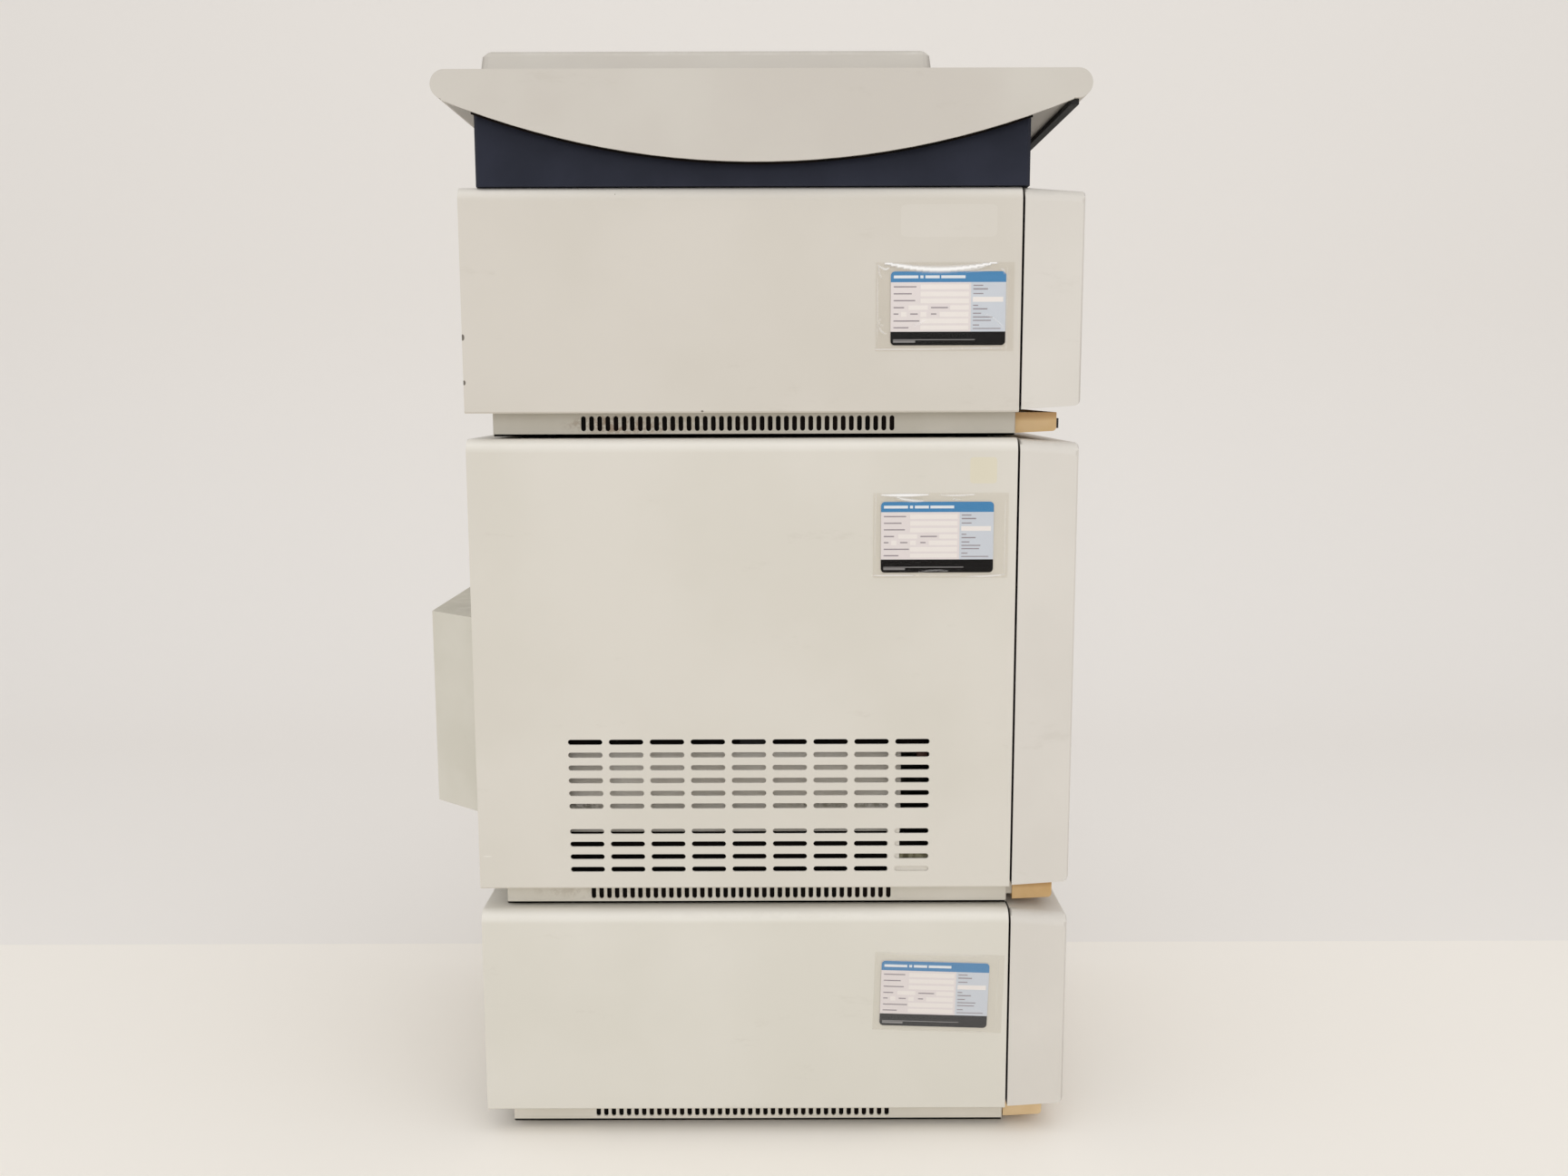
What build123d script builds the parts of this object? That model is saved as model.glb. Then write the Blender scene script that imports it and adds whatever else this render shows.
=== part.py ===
"""Stack of three bench liquid-chromatography modules (pump, sampler, detector) with a solvent tray.

Sizes are in millimetres. X runs from the rear of the stack to its doors, Y across it and Z up.
While a piece is drawn, x = 0 is the rear edge of the covers, y = 0 the middle and z = 0 the bench.
"""

import os
from math import hypot

from build123d import *

# Folded steel cases
case_width = 360.0
body_length = 417.0  # cover, from its rear edge to the door seam
sheet = 1.5
cover_fold = 10.0  # outside radius of a cover's long top folds
hem_edge = 1.2  # bevel of a cover's turned-in bottom edge
pump_height = 166.0
sampler_height = 352.5
detector_height = 166.0
fit_gap = 0.3  # between pieces that are put together by hand
running_gap = 0.05  # round a shaft or pin that turns in its hole

# Slotted bases and feet
plinth_height = 17.6
plinth_inset = 18.5
plinth_rear_inset = 18.0
plinth_corner = 2.0
bench_foot_height = 4.4  # under the lowest module
stack_foot_height = 1.8  # between two modules
foot_size = 24.0
foot_inset = 30.0
slot_count = 39
slot_pitch = 6.2
slot_width = 3.0
slot_height = 9.5
slot_row_middle = 205.0

# Vent field in the sampler's left side
vent_columns = 9
vent_rows = 11
vent_blank_row = 6  # counted from the top, starting at 0
vent_pitch_x = 31.8
vent_pitch_z = 10.25
vent_length = 26.6
vent_height = 3.7
vent_middle_x = 212.3
vent_top_z = 118.1  # middle of the top row above the bottom of the cover

# Doors
door_seam = 1.8
door_depth = 44.3
door_wall = 2.5
door_lift = 2.0  # bottom of a door above the bottom of its cover, at the seam
door_rise = 3.0  # how much the bottom climbs to the front
door_drop = 3.0  # how much the top falls to the front
door_top_gap = 0.8  # top of a door below the top of its cover, at the seam
door_low_round = 5.0  # front edge of the underside
door_edge = 1.5  # bevel of the other front edges
hinge_side = 6.0  # rod from the outer face of the side wall
hinge_back = 14.0  # rod from the rear edge of the door
hinge_end = 22.0  # hinge arm from the top or bottom of the case
hinge_rod_radius = 2.0
hinge_arm = 3.0
hinge_arm_margin = 1.0  # arm in front of the rod
hinge_boss_half = 5.0
hinge_boss_height = 10.0
hinge_notch = 6.0  # clear space in the door's wall in front of the rod

# Front bulkheads, each a pan open towards the door
bay_depth = 33.5
bay_setback = 1.5  # front edge of the pan behind the seam
rear_setback = 3.0  # rear panel inside the rear edge of the cover

# Drip trays below the doors
drip_tray_depth = 31.5
drip_tray_slip = {"pump": 1.2, "sampler": 5.3, "detector": 0.4}  # each tray off its base
tongue_length = 9.0  # the base's tongue that a drip tray slips over
tongue_rise = 5.0
drip_tray_gap = 1.5  # above the underside of the plinth
drip_tray_rise = 1.5
drip_tray_round = 3.0
drip_tray_wall = 2.5
drip_gutter = 8.0
drip_top_gap = 0.5
spout_width = 7.0
spout_length = 1.6
spout_height = 7.5

# Control panels on the doors
panel_width = 120.0
panel_height = 60.0
panel_side = 70.0  # middle of the panel from the left side of the case
panel_flange = 4.0
display_width = 84.0
display_height = 20.0
display_depth = 1.0
key_size = 11.0
key_lift = 0.6
key_columns = 6
key_pitch = 16.0

# Solvent tray, its base and the well for the bottles
tray_base_rear = 13.2
tray_base_length = 409.3
tray_base_side = 2.0  # inside the sides of the case
tray_base_wall = 3.0
tray_base_corner = 2.5
tray_base_height = 59.9
tray_rear = -14.9
tray_length = 479.2
tray_thickness = 21.0
tray_side = 10.0  # how far the tray stands out past the sides of the case
tray_floor = 3.0
tray_lip = 14.0
tray_lip_height = 8.0
tray_corner = 8.0
tray_seat = 8.0
apron_thickness = 4.0
apron_radius = 623.9  # of the curved lower edge
apron_drop = 44.2  # lowest point below the underside of the tray
apron_middle = 222.0
apron_edge = 1.6  # bevel round the apron and the tray
edging_depth = 4.0  # strip under the front end of the tray
edging_width = 6.0
edging_setback = 9.0
well_rear = 20.0
well_length = 322.0
well_width = 220.0
well_corner = 8.0  # corners of the collar
well_nip = 6.0  # corners of the well
well_wall = 3.0
collar_margin = 15.5  # collar's foot outside the well
collar_height = 36.0
collar_taper = 8.0
collar_edge = 3.5

# Hood over the sampler's cooler, on its rear panel
hood_reach = 44.0
hood_bottom = 56.0  # above the bottom of the sampler's cover
hood_height = 157.0
hood_side = 19.0  # side at the cabinet, inside the side of the case
hood_bevel = 38.0
grille_slots = 9
grille_pitch = 8.0
grille_slot = 4.0
grille_length = 64.0

# Fans
fan_size = 80.0
fan_depth = 25.0
fan_bore_radius = 37.5
fan_tip_gap = 1.4
fan_hub_radius = 14.0
fan_boss = 4.0
fan_strut = 5.0
fan_blades = 7
fan_blade = 1.2
fan_blade_pitch = 35.0
fan_hub_sides = 12
fan_y = 90.0
fan_z = 92.0  # above the bottom of the cover

# Mains inlets with their rocker switches
inlet_y = -110.0
inlet_z = 60.0  # above the bottom of the cover
sampler_inlet_rise = 198.0  # the sampler's inlet sits this much higher, above its hood
inlet_width = 32.0
inlet_height = 62.0
inlet_bezel = 2.0
inlet_body_depth = 26.0
socket_width = 24.5
socket_height = 16.5
socket_depth = 16.0
socket_drop = 14.0
rocker_rise = 14.0
rocker_width = 12.0
rocker_height = 20.0
rocker_tilt = 8.0
rocker_clear = 1.0

# Pump
drive_length = 110.0
drive_width = 120.0
drive_height = 90.0
drive_edge = 6.0
motor_radius = 35.0
motor_length = 60.0
head_spacing = 64.0
head_width = 40.0
head_height = 50.0
head_depth = 30.0
check_valve_radius = 8.0
check_valve_length = 14.0
purge_y = 95.0
purge_body_radius = 14.0
purge_body_length = 14.0
purge_stem_radius = 4.0
purge_knob_radius = 13.0
purge_knob_length = 10.0
purge_flutes = 12
proportioning_y = -110.0
proportioning_size = 50.0
proportioning_depth = 12.0
solenoid_radius = 9.0
solenoid_sides = 12
solenoid_length = 26.0
solenoid_spacing = 24.0
pump_axis_z = 84.0  # above the bottom of the cover

# Sampler
compartment_rear = 40.0
compartment_length = 291.8
compartment_inset = 15.0  # outer wall inside the side of the case
compartment_bottom = 41.6  # above the bottom of the cover
compartment_height = 68.0
compartment_wall = 6.0
compartment_lip = 12.4  # how far the rim stands out in front of the compartment
compartment_lip_height = 4.0
frame_setback = 21.5  # side frame behind the bulkhead's plate
frame_length = 47.0
frame_width = 9.3
frame_foot_height = 18.0
frame_heel = 15.0
frame_step_height = 48.0
frame_top_gap = 10.0
rack_count = 3
rack_clear = 8.0  # between the racks, and between them and the compartment's front and rear
rack_height = 45.0
rack_columns = 6
rack_rows = 2
rack_pocket = 13.0
rack_pocket_pitch_x = 40.0
rack_pocket_pitch_y = 40.0
rack_pocket_depth = 30.0
cooler_rear = 80.0
cooler_length = 220.0
cooler_width = 160.0
cooler_fin_pitch = 16.0
cooler_fin_gap = 8.0
cooler_fin_depth = 30.0
gantry_x = 215.0
gantry_bar = 20.0
gantry_rise = 143.0  # underside of the beam above the bottom of the post
carriage_wall = 8.0
carriage_width = 50.0
nose_length = 24.0
needle_rod = 10.0
needle_rod_length = 120.0
needle_rod_drop = 40.0  # rod below the beam's underside
needle_radius = 1.0
needle_length = 30.0
window_left = 15.0  # clear edge of the window from the left side of the case
window_right = 110.0
window_sill = 113.0
window_head = 20.0
valve_y = 125.0
valve_z = 240.0
valve_radius = 20.0
valve_length = 24.0
valve_stem_radius = 7.0
valve_stem_length = 14.0
syringe_z = 130.0
syringe_bore_radius = 6.5
syringe_wall = 2.0
syringe_facets = 12
syringe_height = 80.0
syringe_stand_off = 22.0
syringe_bracket = 10.0
syringe_rod_radius = 3.0
syringe_piston = 12.0
syringe_foot = 5.0

# Detector
optics_length = 150.0
optics_width = 160.0
optics_height = 70.0
optics_middle_y = -40.0
optics_bottom = 20.0  # above the bottom of the cover
optics_edge = 8.0
lamp_size = 60.0
lamp_height = 45.0
lamp_fins = 5
lamp_fin_gap = 5.0
lamp_fin_pitch = 10.0
lamp_fin_depth = 14.0
flow_cell_radius = 18.0
flow_cell_length = 24.0
flow_cell_nut_radius = 7.0
flow_cell_nut_length = 12.0

# Electronics
supply_rear = 40.0
supply_length = 140.0
supply_width = 62.0
supply_height = 48.0
supply_gap = 3.0  # between a supply and the board beside it
board_rear = 60.0
board_length = 240.0
board_height = 50.0
board_thickness = 1.6
board_gap = 0.4

# Cards in clear pouches on the left side
card_width = 85.6
card_height = 54.0
card_thickness = 0.6
card_nip = 2.0
pouch_width = 103.0
pouch_height = 65.0
pouch_seam = 3.0
pouch_film = 0.3
pouch_clear = 0.2

# Heights of the modules in the stack
pump_case_z = bench_foot_height + plinth_height
pump_top_z = pump_case_z + pump_height
sampler_case_z = pump_top_z + stack_foot_height + plinth_height
sampler_top_z = sampler_case_z + sampler_height
detector_case_z = sampler_top_z + stack_foot_height + plinth_height
detector_top_z = detector_case_z + detector_height

# Places that several pieces share
half_width = case_width / 2
inside_half = half_width - sheet - fit_gap
flange_top = 2 * sheet  # top of the base's flange above the bottom of the cover
bay_front_x = body_length - bay_setback
bulkhead_x = body_length - bay_depth  # front face of the bulkhead's plate
door_rear_x = body_length + door_seam
door_front_x = door_rear_x + door_depth
hinge_x = door_rear_x + hinge_back
hinge_y = half_width - hinge_side
panel_plate_x = rear_setback + sheet  # inner face of a rear panel
plinth_half = half_width - plinth_inset
tray_base_z = detector_top_z
tray_bottom_z = tray_base_z + tray_base_height
tray_top_z = tray_bottom_z + tray_thickness
tray_half = half_width + tray_side
centre_x = (-hood_reach + tray_rear + tray_length) / 2  # middle of the stack's length


def about(middle, half):
    """A low and high pair, half each way from the middle."""
    return middle - half, middle + half


def block(x, y, z):
    """A box between the low and high values along each axis."""
    size = (x[1] - x[0], y[1] - y[0], z[1] - z[0])
    return Pos((x[0] + x[1]) / 2, (y[0] + y[1]) / 2, (z[0] + z[1]) / 2) * Box(*size)


def rod_x(x, y, z, radius, length):
    """A round bar from x towards the doors."""
    return Pos(x + length / 2, y, z) * Rot(0, 90, 0) * Cylinder(radius, length)


def rod_z(x, y, z, radius, length):
    """A round bar from z upwards."""
    return Pos(x, y, z + length / 2) * Cylinder(radius, length)


def save(node, *pieces):
    """Writes one node, with the middle of the stack moved onto the origin."""
    solids = [solid for piece in pieces for solid in piece.solids()]
    whole = Compound(solids) if len(solids) > 1 else solids[0]
    export_step(Pos(-centre_x, 0, 0) * whole, f"parts/{node}.step")


def case_outline(width, height, top_round, bottom_edge=0.0):
    """The upright outline of a case seen from the rear, standing on height 0."""
    outline = Pos(0, height / 2) * Rectangle(width, height)
    outline = fillet(outline.vertices().group_by(Axis.Y)[-1], top_round)
    if bottom_edge > 0:
        outline = chamfer(outline.vertices().group_by(Axis.Y)[0], bottom_edge)
    return outline


def along_x(outline, x, z, length):
    """An outline in Y and Z, pulled from x towards the doors."""
    return extrude(Plane((x, 0, z), x_dir=(0, 1, 0), z_dir=(1, 0, 0)) * outline, amount=length)


# Covers

def cover(case_z, height):
    outer = case_outline(case_width, height, cover_fold, hem_edge)
    inner = Pos(0, sheet) * case_outline(case_width - 2 * sheet, height - 2 * sheet, cover_fold - sheet)
    open_bottom = Rectangle(case_width - 2 * (plinth_inset - fit_gap), 3 * sheet)
    return along_x(outer - inner - open_bottom, 0, case_z, body_length)


def vent_field(case_z):
    """The vents as one cutter through the left side, with square ends to keep their faces few."""
    slot = Rectangle(vent_length, vent_height)
    first_x = vent_middle_x - (vent_columns - 1) * vent_pitch_x / 2
    top_z = case_z + vent_top_z
    places = [
        Pos(first_x + column * vent_pitch_x, top_z - row * vent_pitch_z)
        for row in range(vent_rows)
        if row != vent_blank_row
        for column in range(vent_columns)
    ]
    slots = Sketch() + [place * slot for place in places]
    return extrude(Plane.XZ.offset(half_width - 2 * sheet) * slots, amount=3 * sheet)


# Bases: a pan, slotted along its left side, hanging from a flange on the cover's turned-in edges

def base(case_z):
    bottom_z = case_z - plinth_height
    top_z = case_z + flange_top
    pan = block((plinth_rear_inset, body_length), (-plinth_half, plinth_half), (bottom_z, top_z))
    pan = chamfer(pan.edges().filter_by(Axis.Z), plinth_corner)
    flange = block((rear_setback, body_length), (-inside_half, inside_half), (top_z - sheet, top_z))
    hollow = block(
        (plinth_rear_inset + sheet, body_length - sheet),
        (sheet - plinth_half, plinth_half - sheet),
        (bottom_z + sheet, top_z + sheet),
    )
    first_x = slot_row_middle - (slot_count - 1) * slot_pitch / 2
    slot_z = case_z - plinth_height / 2
    slot = Rectangle(slot_width, slot_height)
    slots = Sketch() + [Pos(first_x + n * slot_pitch, slot_z) * slot for n in range(slot_count)]
    slots = extrude(Plane.XZ * slots, amount=half_width)
    across = plinth_half - drip_tray_wall - fit_gap
    tongue = block(
        (body_length - sheet, body_length + tongue_length),
        about(0, across),
        (tongue_low(case_z), case_z - fit_gap),
    )
    return pan + flange + tongue - hollow - slots


def feet(foot_z, height):
    """Four square rubber pads under one base."""
    xs = (plinth_rear_inset + foot_inset, body_length - foot_inset)
    y = plinth_half - foot_inset
    pad = Box(foot_size, foot_size, height)
    return [Pos(x, side * y, foot_z + height / 2) * pad for x in xs for side in (-1, 1)]


# Rear panels and front bulkheads share the outline that fits inside a cover

def inside_outline(height, inset=0.0):
    return case_outline(
        2 * (inside_half - inset),
        height - flange_top - sheet - fit_gap - 2 * inset,
        cover_fold - sheet - fit_gap - inset,
    )


def rear_panel(case_z, height, z):
    """The panel has a cut-out for the mains inlet, whose middle is at height z."""
    plate = along_x(inside_outline(height), rear_setback, case_z + flange_top, sheet)
    half_y = inlet_width / 2 - inlet_bezel + fit_gap
    half_z = inlet_height / 2 - inlet_bezel + fit_gap
    return plate - block(
        (0, 2 * panel_plate_x), (inlet_y - half_y, inlet_y + half_y), (z - half_z, z + half_z)
    )


def grille(x, y, z, depth):
    """Level slots in front of a fan, as one cutter."""
    cutters = []
    for n in range(grille_slots):
        rise = (n - (grille_slots - 1) / 2) * grille_pitch
        half = min(grille_length / 2, (fan_bore_radius**2 - rise**2) ** 0.5 - grille_slot)
        cutters.append(block((x, x + depth), about(y, half), about(z + rise, grille_slot / 2)))
    return cutters


def arm_levels(case_z, height):
    """The undersides of a door's two hinge arms."""
    return case_z + hinge_end, case_z + height - hinge_end - hinge_arm


def boss_levels(case_z, height):
    """The undersides of the door's bosses: just above the lower arm and just below the upper one."""
    lower, upper = arm_levels(case_z, height)
    return lower + hinge_arm + fit_gap, upper - fit_gap - hinge_boss_height


def bulkhead(case_z, height):
    """A pan whose right-hand wall carries two hinge arms out past the seam."""
    z = case_z + flange_top
    outer = along_x(inside_outline(height), bulkhead_x - sheet, z, bay_front_x - bulkhead_x + sheet)
    inner = along_x(inside_outline(height, sheet), bulkhead_x, z + sheet, bay_depth)
    pan = outer - inner
    arm_in = hinge_y - hinge_boss_half
    arm_out = inside_half - sheet + fit_gap
    arm_front = hinge_x + hinge_rod_radius + hinge_arm_margin
    for level in arm_levels(case_z, height):
        pan += block((bulkhead_x, arm_front), (arm_in, arm_out), (level, level + hinge_arm))
    return pan


def hinge_rod(case_z, height):
    """A round rod held between the two arms."""
    lower, upper = arm_levels(case_z, height)
    return rod_z(hinge_x, hinge_y, lower + hinge_arm, hinge_rod_radius, upper - lower - hinge_arm)


# Doors: moulded shells, open to the rear, with the hinge bosses on the right-hand wall

def door_form(case_z, height):
    """The door's outer form, whose long edges at the top run down to the front."""
    low = case_z + door_lift
    high = case_z + height - door_top_gap
    arch = case_outline(case_width, high - low + cover_fold, cover_fold)
    arch = Plane((door_rear_x, 0, low - cover_fold), x_dir=(0, 1, 0), z_dir=(1, 0, 0)) * arch
    body = extrude(arch, amount=hypot(door_depth, door_drop), dir=(door_depth, 0, -door_drop))
    side = Polygon(
        (door_rear_x, low), (door_front_x, low + door_rise), (door_front_x, high - door_drop),
        (door_rear_x, high), align=None,
    )
    corners = side.vertices().sort_by(Axis.X)[-2:].sort_by(Axis.Y)
    side = fillet(corners[0], door_low_round)
    side = chamfer(side.vertices().sort_by(Axis.Y)[-2:].sort_by(Axis.X)[-1], door_edge)
    plan = Pos((door_rear_x + door_front_x) / 2, 0) * Rectangle(door_depth, case_width)
    plan = chamfer(plan.vertices().group_by(Axis.X)[-1], door_edge)
    body &= extrude(Plane.XZ * side, amount=half_width, both=True)
    return body & extrude(Pos(0, 0, low - 1) * plan, amount=high - low + 2)


def door(case_z, height):
    low = case_z + door_lift + door_wall
    high = case_z + height - door_top_gap - door_wall
    top_y = half_width - cover_fold
    wall_y = half_width - door_wall
    front = door_front_x - door_wall
    hollow = Polygon(
        (-wall_y, low), (wall_y, low), (wall_y, high - cover_fold), (top_y, high),
        (-top_y, high), (-wall_y, high - cover_fold), align=None,
    )
    hollow = along_x(hollow, door_rear_x - 1, 0, front - door_rear_x + 1)
    slope = Polygon(
        (door_rear_x - 1, low), (front, low + door_rise), (front, high - door_drop),
        (door_rear_x - 1, high), align=None,
    )
    hollow &= extrude(Plane.XZ * slope, amount=half_width, both=True)
    shell = door_form(case_z, height) - hollow
    bore = hinge_rod_radius + running_gap
    for level in boss_levels(case_z, height):
        boss = block(
            (hinge_x - hinge_boss_half, hinge_x + hinge_boss_half),
            (hinge_y - hinge_boss_half, half_width - door_wall),
            (level, level + hinge_boss_height),
        )
        shell += boss - rod_z(hinge_x, hinge_y, level - 1, bore, hinge_boss_height + 2)
    for level in arm_levels(case_z, height):
        shell -= block(
            (door_rear_x - door_wall, hinge_x + hinge_notch),
            (half_width - 2 * door_wall, half_width + door_wall),
            (level - fit_gap, level + hinge_arm + fit_gap),
        )
    y = panel_side - half_width
    z = case_z + height / 2
    return shell - block(
        (door_front_x - 2 * door_wall, door_front_x + door_wall),
        about(y, panel_width / 2 + fit_gap),
        about(z, panel_height / 2 + fit_gap),
    )


def control_panel(case_z, height):
    """A display over a row of keys, flush in the door and held behind its front wall."""
    y = panel_side - half_width
    z = case_z + height / 2
    half_y = panel_width / 2
    half_z = panel_height / 2
    back_x = door_front_x - door_wall
    face = block((back_x, door_front_x), (y - half_y, y + half_y), (z - half_z, z + half_z))
    flange = block(
        (back_x - door_wall, back_x),
        (y - half_y - panel_flange, y + half_y + panel_flange),
        (z - half_z - panel_flange, z + half_z + panel_flange),
    )
    display_z = z + half_z / 2
    display = block(
        (door_front_x - display_depth, door_front_x + display_depth),
        (y - display_width / 2, y + display_width / 2),
        (display_z - display_height / 2, display_z + display_height / 2),
    )
    panel = face + flange - display
    key_z = z - half_z / 2
    for column in range(key_columns):
        key_y = y + (column - (key_columns - 1) / 2) * key_pitch
        panel += block(
            (back_x, door_front_x + key_lift),
            (key_y - key_size / 2, key_y + key_size / 2),
            (key_z - key_size / 2, key_z + key_size / 2),
        )
    return panel


# Drip trays

def tongue_low(case_z):
    return case_z - plinth_height + tongue_rise


def drip_tray(module):
    """A moulded trough that slips over the tongue of the base, with a gutter in its top."""
    case_z = cases[module][0]
    low = case_z - plinth_height + drip_tray_gap
    high = case_z - drip_top_gap
    rear = body_length + drip_tray_slip[module]
    front = rear + drip_tray_depth
    side = Polygon((rear, low), (front, low + drip_tray_rise), (front, high), (rear, high), align=None)
    corner = side.vertices().sort_by(Axis.X)[-2:].sort_by(Axis.Y)[0]
    side = fillet(corner, drip_tray_round)
    trough = extrude(Plane.XZ * side, amount=plinth_half, both=True)
    between = plinth_half - drip_tray_wall
    recess = rear + tongue_length + fit_gap
    trough -= block((rear - 1, recess), about(0, between), (tongue_low(case_z) - fit_gap, case_z))
    gutter = (recess + drip_tray_wall, front - drip_tray_wall)
    return trough - block(gutter, about(0, between), (high - drip_gutter, case_z))


def drain_spout(module):
    """A short black drain at the left end of a drip tray."""
    front = body_length + drip_tray_slip[module] + drip_tray_depth
    high = cases[module][0] - 2 * drip_tray_wall
    left = -plinth_half
    return block((front, front + spout_length), (left, left + spout_width), (high - spout_height, high))


# Solvent tray

def tray_base():
    front = tray_base_rear + tray_base_length
    half = half_width - tray_base_side
    shell = block((tray_base_rear, front), (-half, half), (tray_base_z, tray_bottom_z))
    shell = chamfer(shell.edges().filter_by(Axis.Z), tray_base_corner)
    return shell - block(
        (tray_base_rear + tray_base_wall, front - tray_base_wall),
        (tray_base_wall - half, half - tray_base_wall),
        (tray_base_z + tray_base_wall, tray_top_z),
    )


def solvent_tray():
    """A flat moulding with rounded ends and a curved apron along each side."""
    nose = tray_thickness / 2
    middle_x = tray_rear + tray_length / 2
    middle_z = tray_bottom_z + nose
    bar = Pos(middle_x, middle_z) * SlotOverall(tray_length, tray_thickness)
    arc_z = tray_bottom_z - apron_drop + apron_radius
    below = Rectangle(tray_length - tray_thickness, 2 * apron_radius)
    smile = Pos(apron_middle, arc_z) * Circle(apron_radius)
    smile = smile & (Pos(apron_middle, middle_z - apron_radius) * below)
    slab = extrude(Plane.XZ * (bar + smile), amount=tray_half, both=True)
    for face in (slab.faces().sort_by(Axis.Y)[0], slab.faces().sort_by(Axis.Y)[-1]):
        slab = chamfer(face.edges(), apron_edge)
    between = tray_half - apron_thickness
    front = tray_rear + tray_length
    slab -= block((tray_rear, front), about(0, between), (tray_base_z - tray_thickness, tray_bottom_z))
    pocket = block(
        (tray_rear + tray_lip, front - tray_lip),
        (tray_lip - tray_half, tray_half - tray_lip),
        (tray_top_z - tray_lip_height, tray_top_z + tray_lip_height),
    )
    pocket = fillet(pocket.edges().filter_by(Axis.Z), tray_corner)
    seat = half_width - tray_base_side - tray_seat
    hollow = block(
        (tray_base_rear + tray_seat, tray_base_rear + tray_base_length - tray_seat),
        (-seat, seat),
        (tray_bottom_z - tray_floor, tray_top_z - tray_lip_height - tray_floor),
    )
    margin = well_wall + fit_gap
    opening = block(
        (well_rear - margin, well_rear + well_length + margin),
        (-well_width / 2 - margin, well_width / 2 + margin),
        (tray_bottom_z - tray_floor, tray_top_z + tray_floor),
    )
    return slab - pocket - hollow - opening


def tray_edging():
    """A rubber strip under the front end of the tray, between the aprons."""
    front = tray_rear + tray_length - edging_setback
    across = tray_half - apron_thickness - fit_gap
    low = tray_bottom_z - edging_depth
    return block((front - edging_width, front), about(0, across), (low, tray_bottom_z))


def bottle_well():
    """A deep tub standing in the tray's base, with a tapered collar round its mouth."""
    middle_x = well_rear + well_length / 2
    floor_z = tray_base_z + tray_base_wall
    collar_z = tray_top_z - tray_lip_height
    foot = Rectangle(well_length + 2 * collar_margin, well_width + 2 * collar_margin)
    foot = chamfer(foot.vertices(), well_corner)
    collar = extrude(Pos(middle_x, 0, collar_z) * foot, amount=collar_height, taper=collar_taper)
    collar = chamfer(collar.faces().sort_by(Axis.Z)[-1].edges(), collar_edge)
    tub = chamfer(Rectangle(well_length + 2 * well_wall, well_width + 2 * well_wall).vertices(), well_nip)
    tub = extrude(Pos(middle_x, 0, floor_z) * tub, amount=collar_z - floor_z)
    hollow = chamfer(Rectangle(well_length, well_width).vertices(), well_nip)
    depth = collar_z + collar_height - floor_z
    return collar + tub - extrude(Pos(middle_x, 0, floor_z + well_wall) * hollow, amount=depth)


# Hood on the rear of the sampler

def hood_plan(inset):
    cabinet = half_width - hood_side - inset
    outer = cabinet - hood_bevel
    rear = inset - hood_reach
    points = ((rear_setback, cabinet), (0, cabinet), (rear, outer), (rear, -outer), (0, -cabinet))
    return Polygon(*points, (rear_setback, -cabinet), align=None)


def rear_hood():
    z = sampler_case_z + hood_bottom
    shell = extrude(Pos(0, 0, z) * hood_plan(0), amount=hood_height)
    shell -= extrude(Pos(0, 0, z + sheet) * hood_plan(sheet), amount=hood_height - 2 * sheet)
    return shell - grille(-hood_reach - sheet, 0, z + hood_height / 2, 3 * sheet)


# Fans: x is the face of the frame that lies on its panel

def fan_frame(x, y, z):
    frame = Pos(x + fan_depth / 2, y, z) * Box(fan_depth, fan_size, fan_size)
    frame -= rod_x(x - 1, y, z, fan_bore_radius, fan_depth + 2)
    half = fan_bore_radius + 1
    for half_y, half_z in ((half, fan_strut / 2), (fan_strut / 2, half)):
        frame += block((x + fan_depth - fan_boss, x + fan_depth), about(y, half_y), about(z, half_z))
    boss = extrude(RegularPolygon(fan_hub_radius, fan_hub_sides), amount=fan_boss)
    return frame + Pos(x + fan_depth - fan_boss, y, z) * Rot(0, 90, 0) * boss


def fan_rotor(x, y, z):
    """The hub runs on a bearing sealed inside it, just clear of the frame's boss."""
    hub_length = fan_depth - fan_boss - fan_tip_gap - fit_gap
    tip = fan_bore_radius - fan_tip_gap
    hub = extrude(RegularPolygon(fan_hub_radius, fan_hub_sides), amount=hub_length)
    rotor = Pos(x + fan_tip_gap, y, z) * Rot(0, 90, 0) * hub
    blade_length = tip - fan_hub_radius
    blade = Pos(0, 0, fan_hub_radius + blade_length / 2 - 1) * Rot(0, 0, fan_blade_pitch)
    blade = blade * Box(hub_length * 0.8, fan_blade, blade_length)
    middle = Pos(x + fan_tip_gap + hub_length / 2, y, z)
    for n in range(fan_blades):
        rotor += middle * Rot(n * 360 / fan_blades, 0, 0) * blade
    return rotor


# Mains inlets and rocker switches on the rear panels

def rocker_pivot(z):
    """The rocker's pivot, in x and z, in an inlet whose middle is at height z."""
    return rear_setback - inlet_bezel + rocker_height * 0.3, z + rocker_rise


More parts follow.
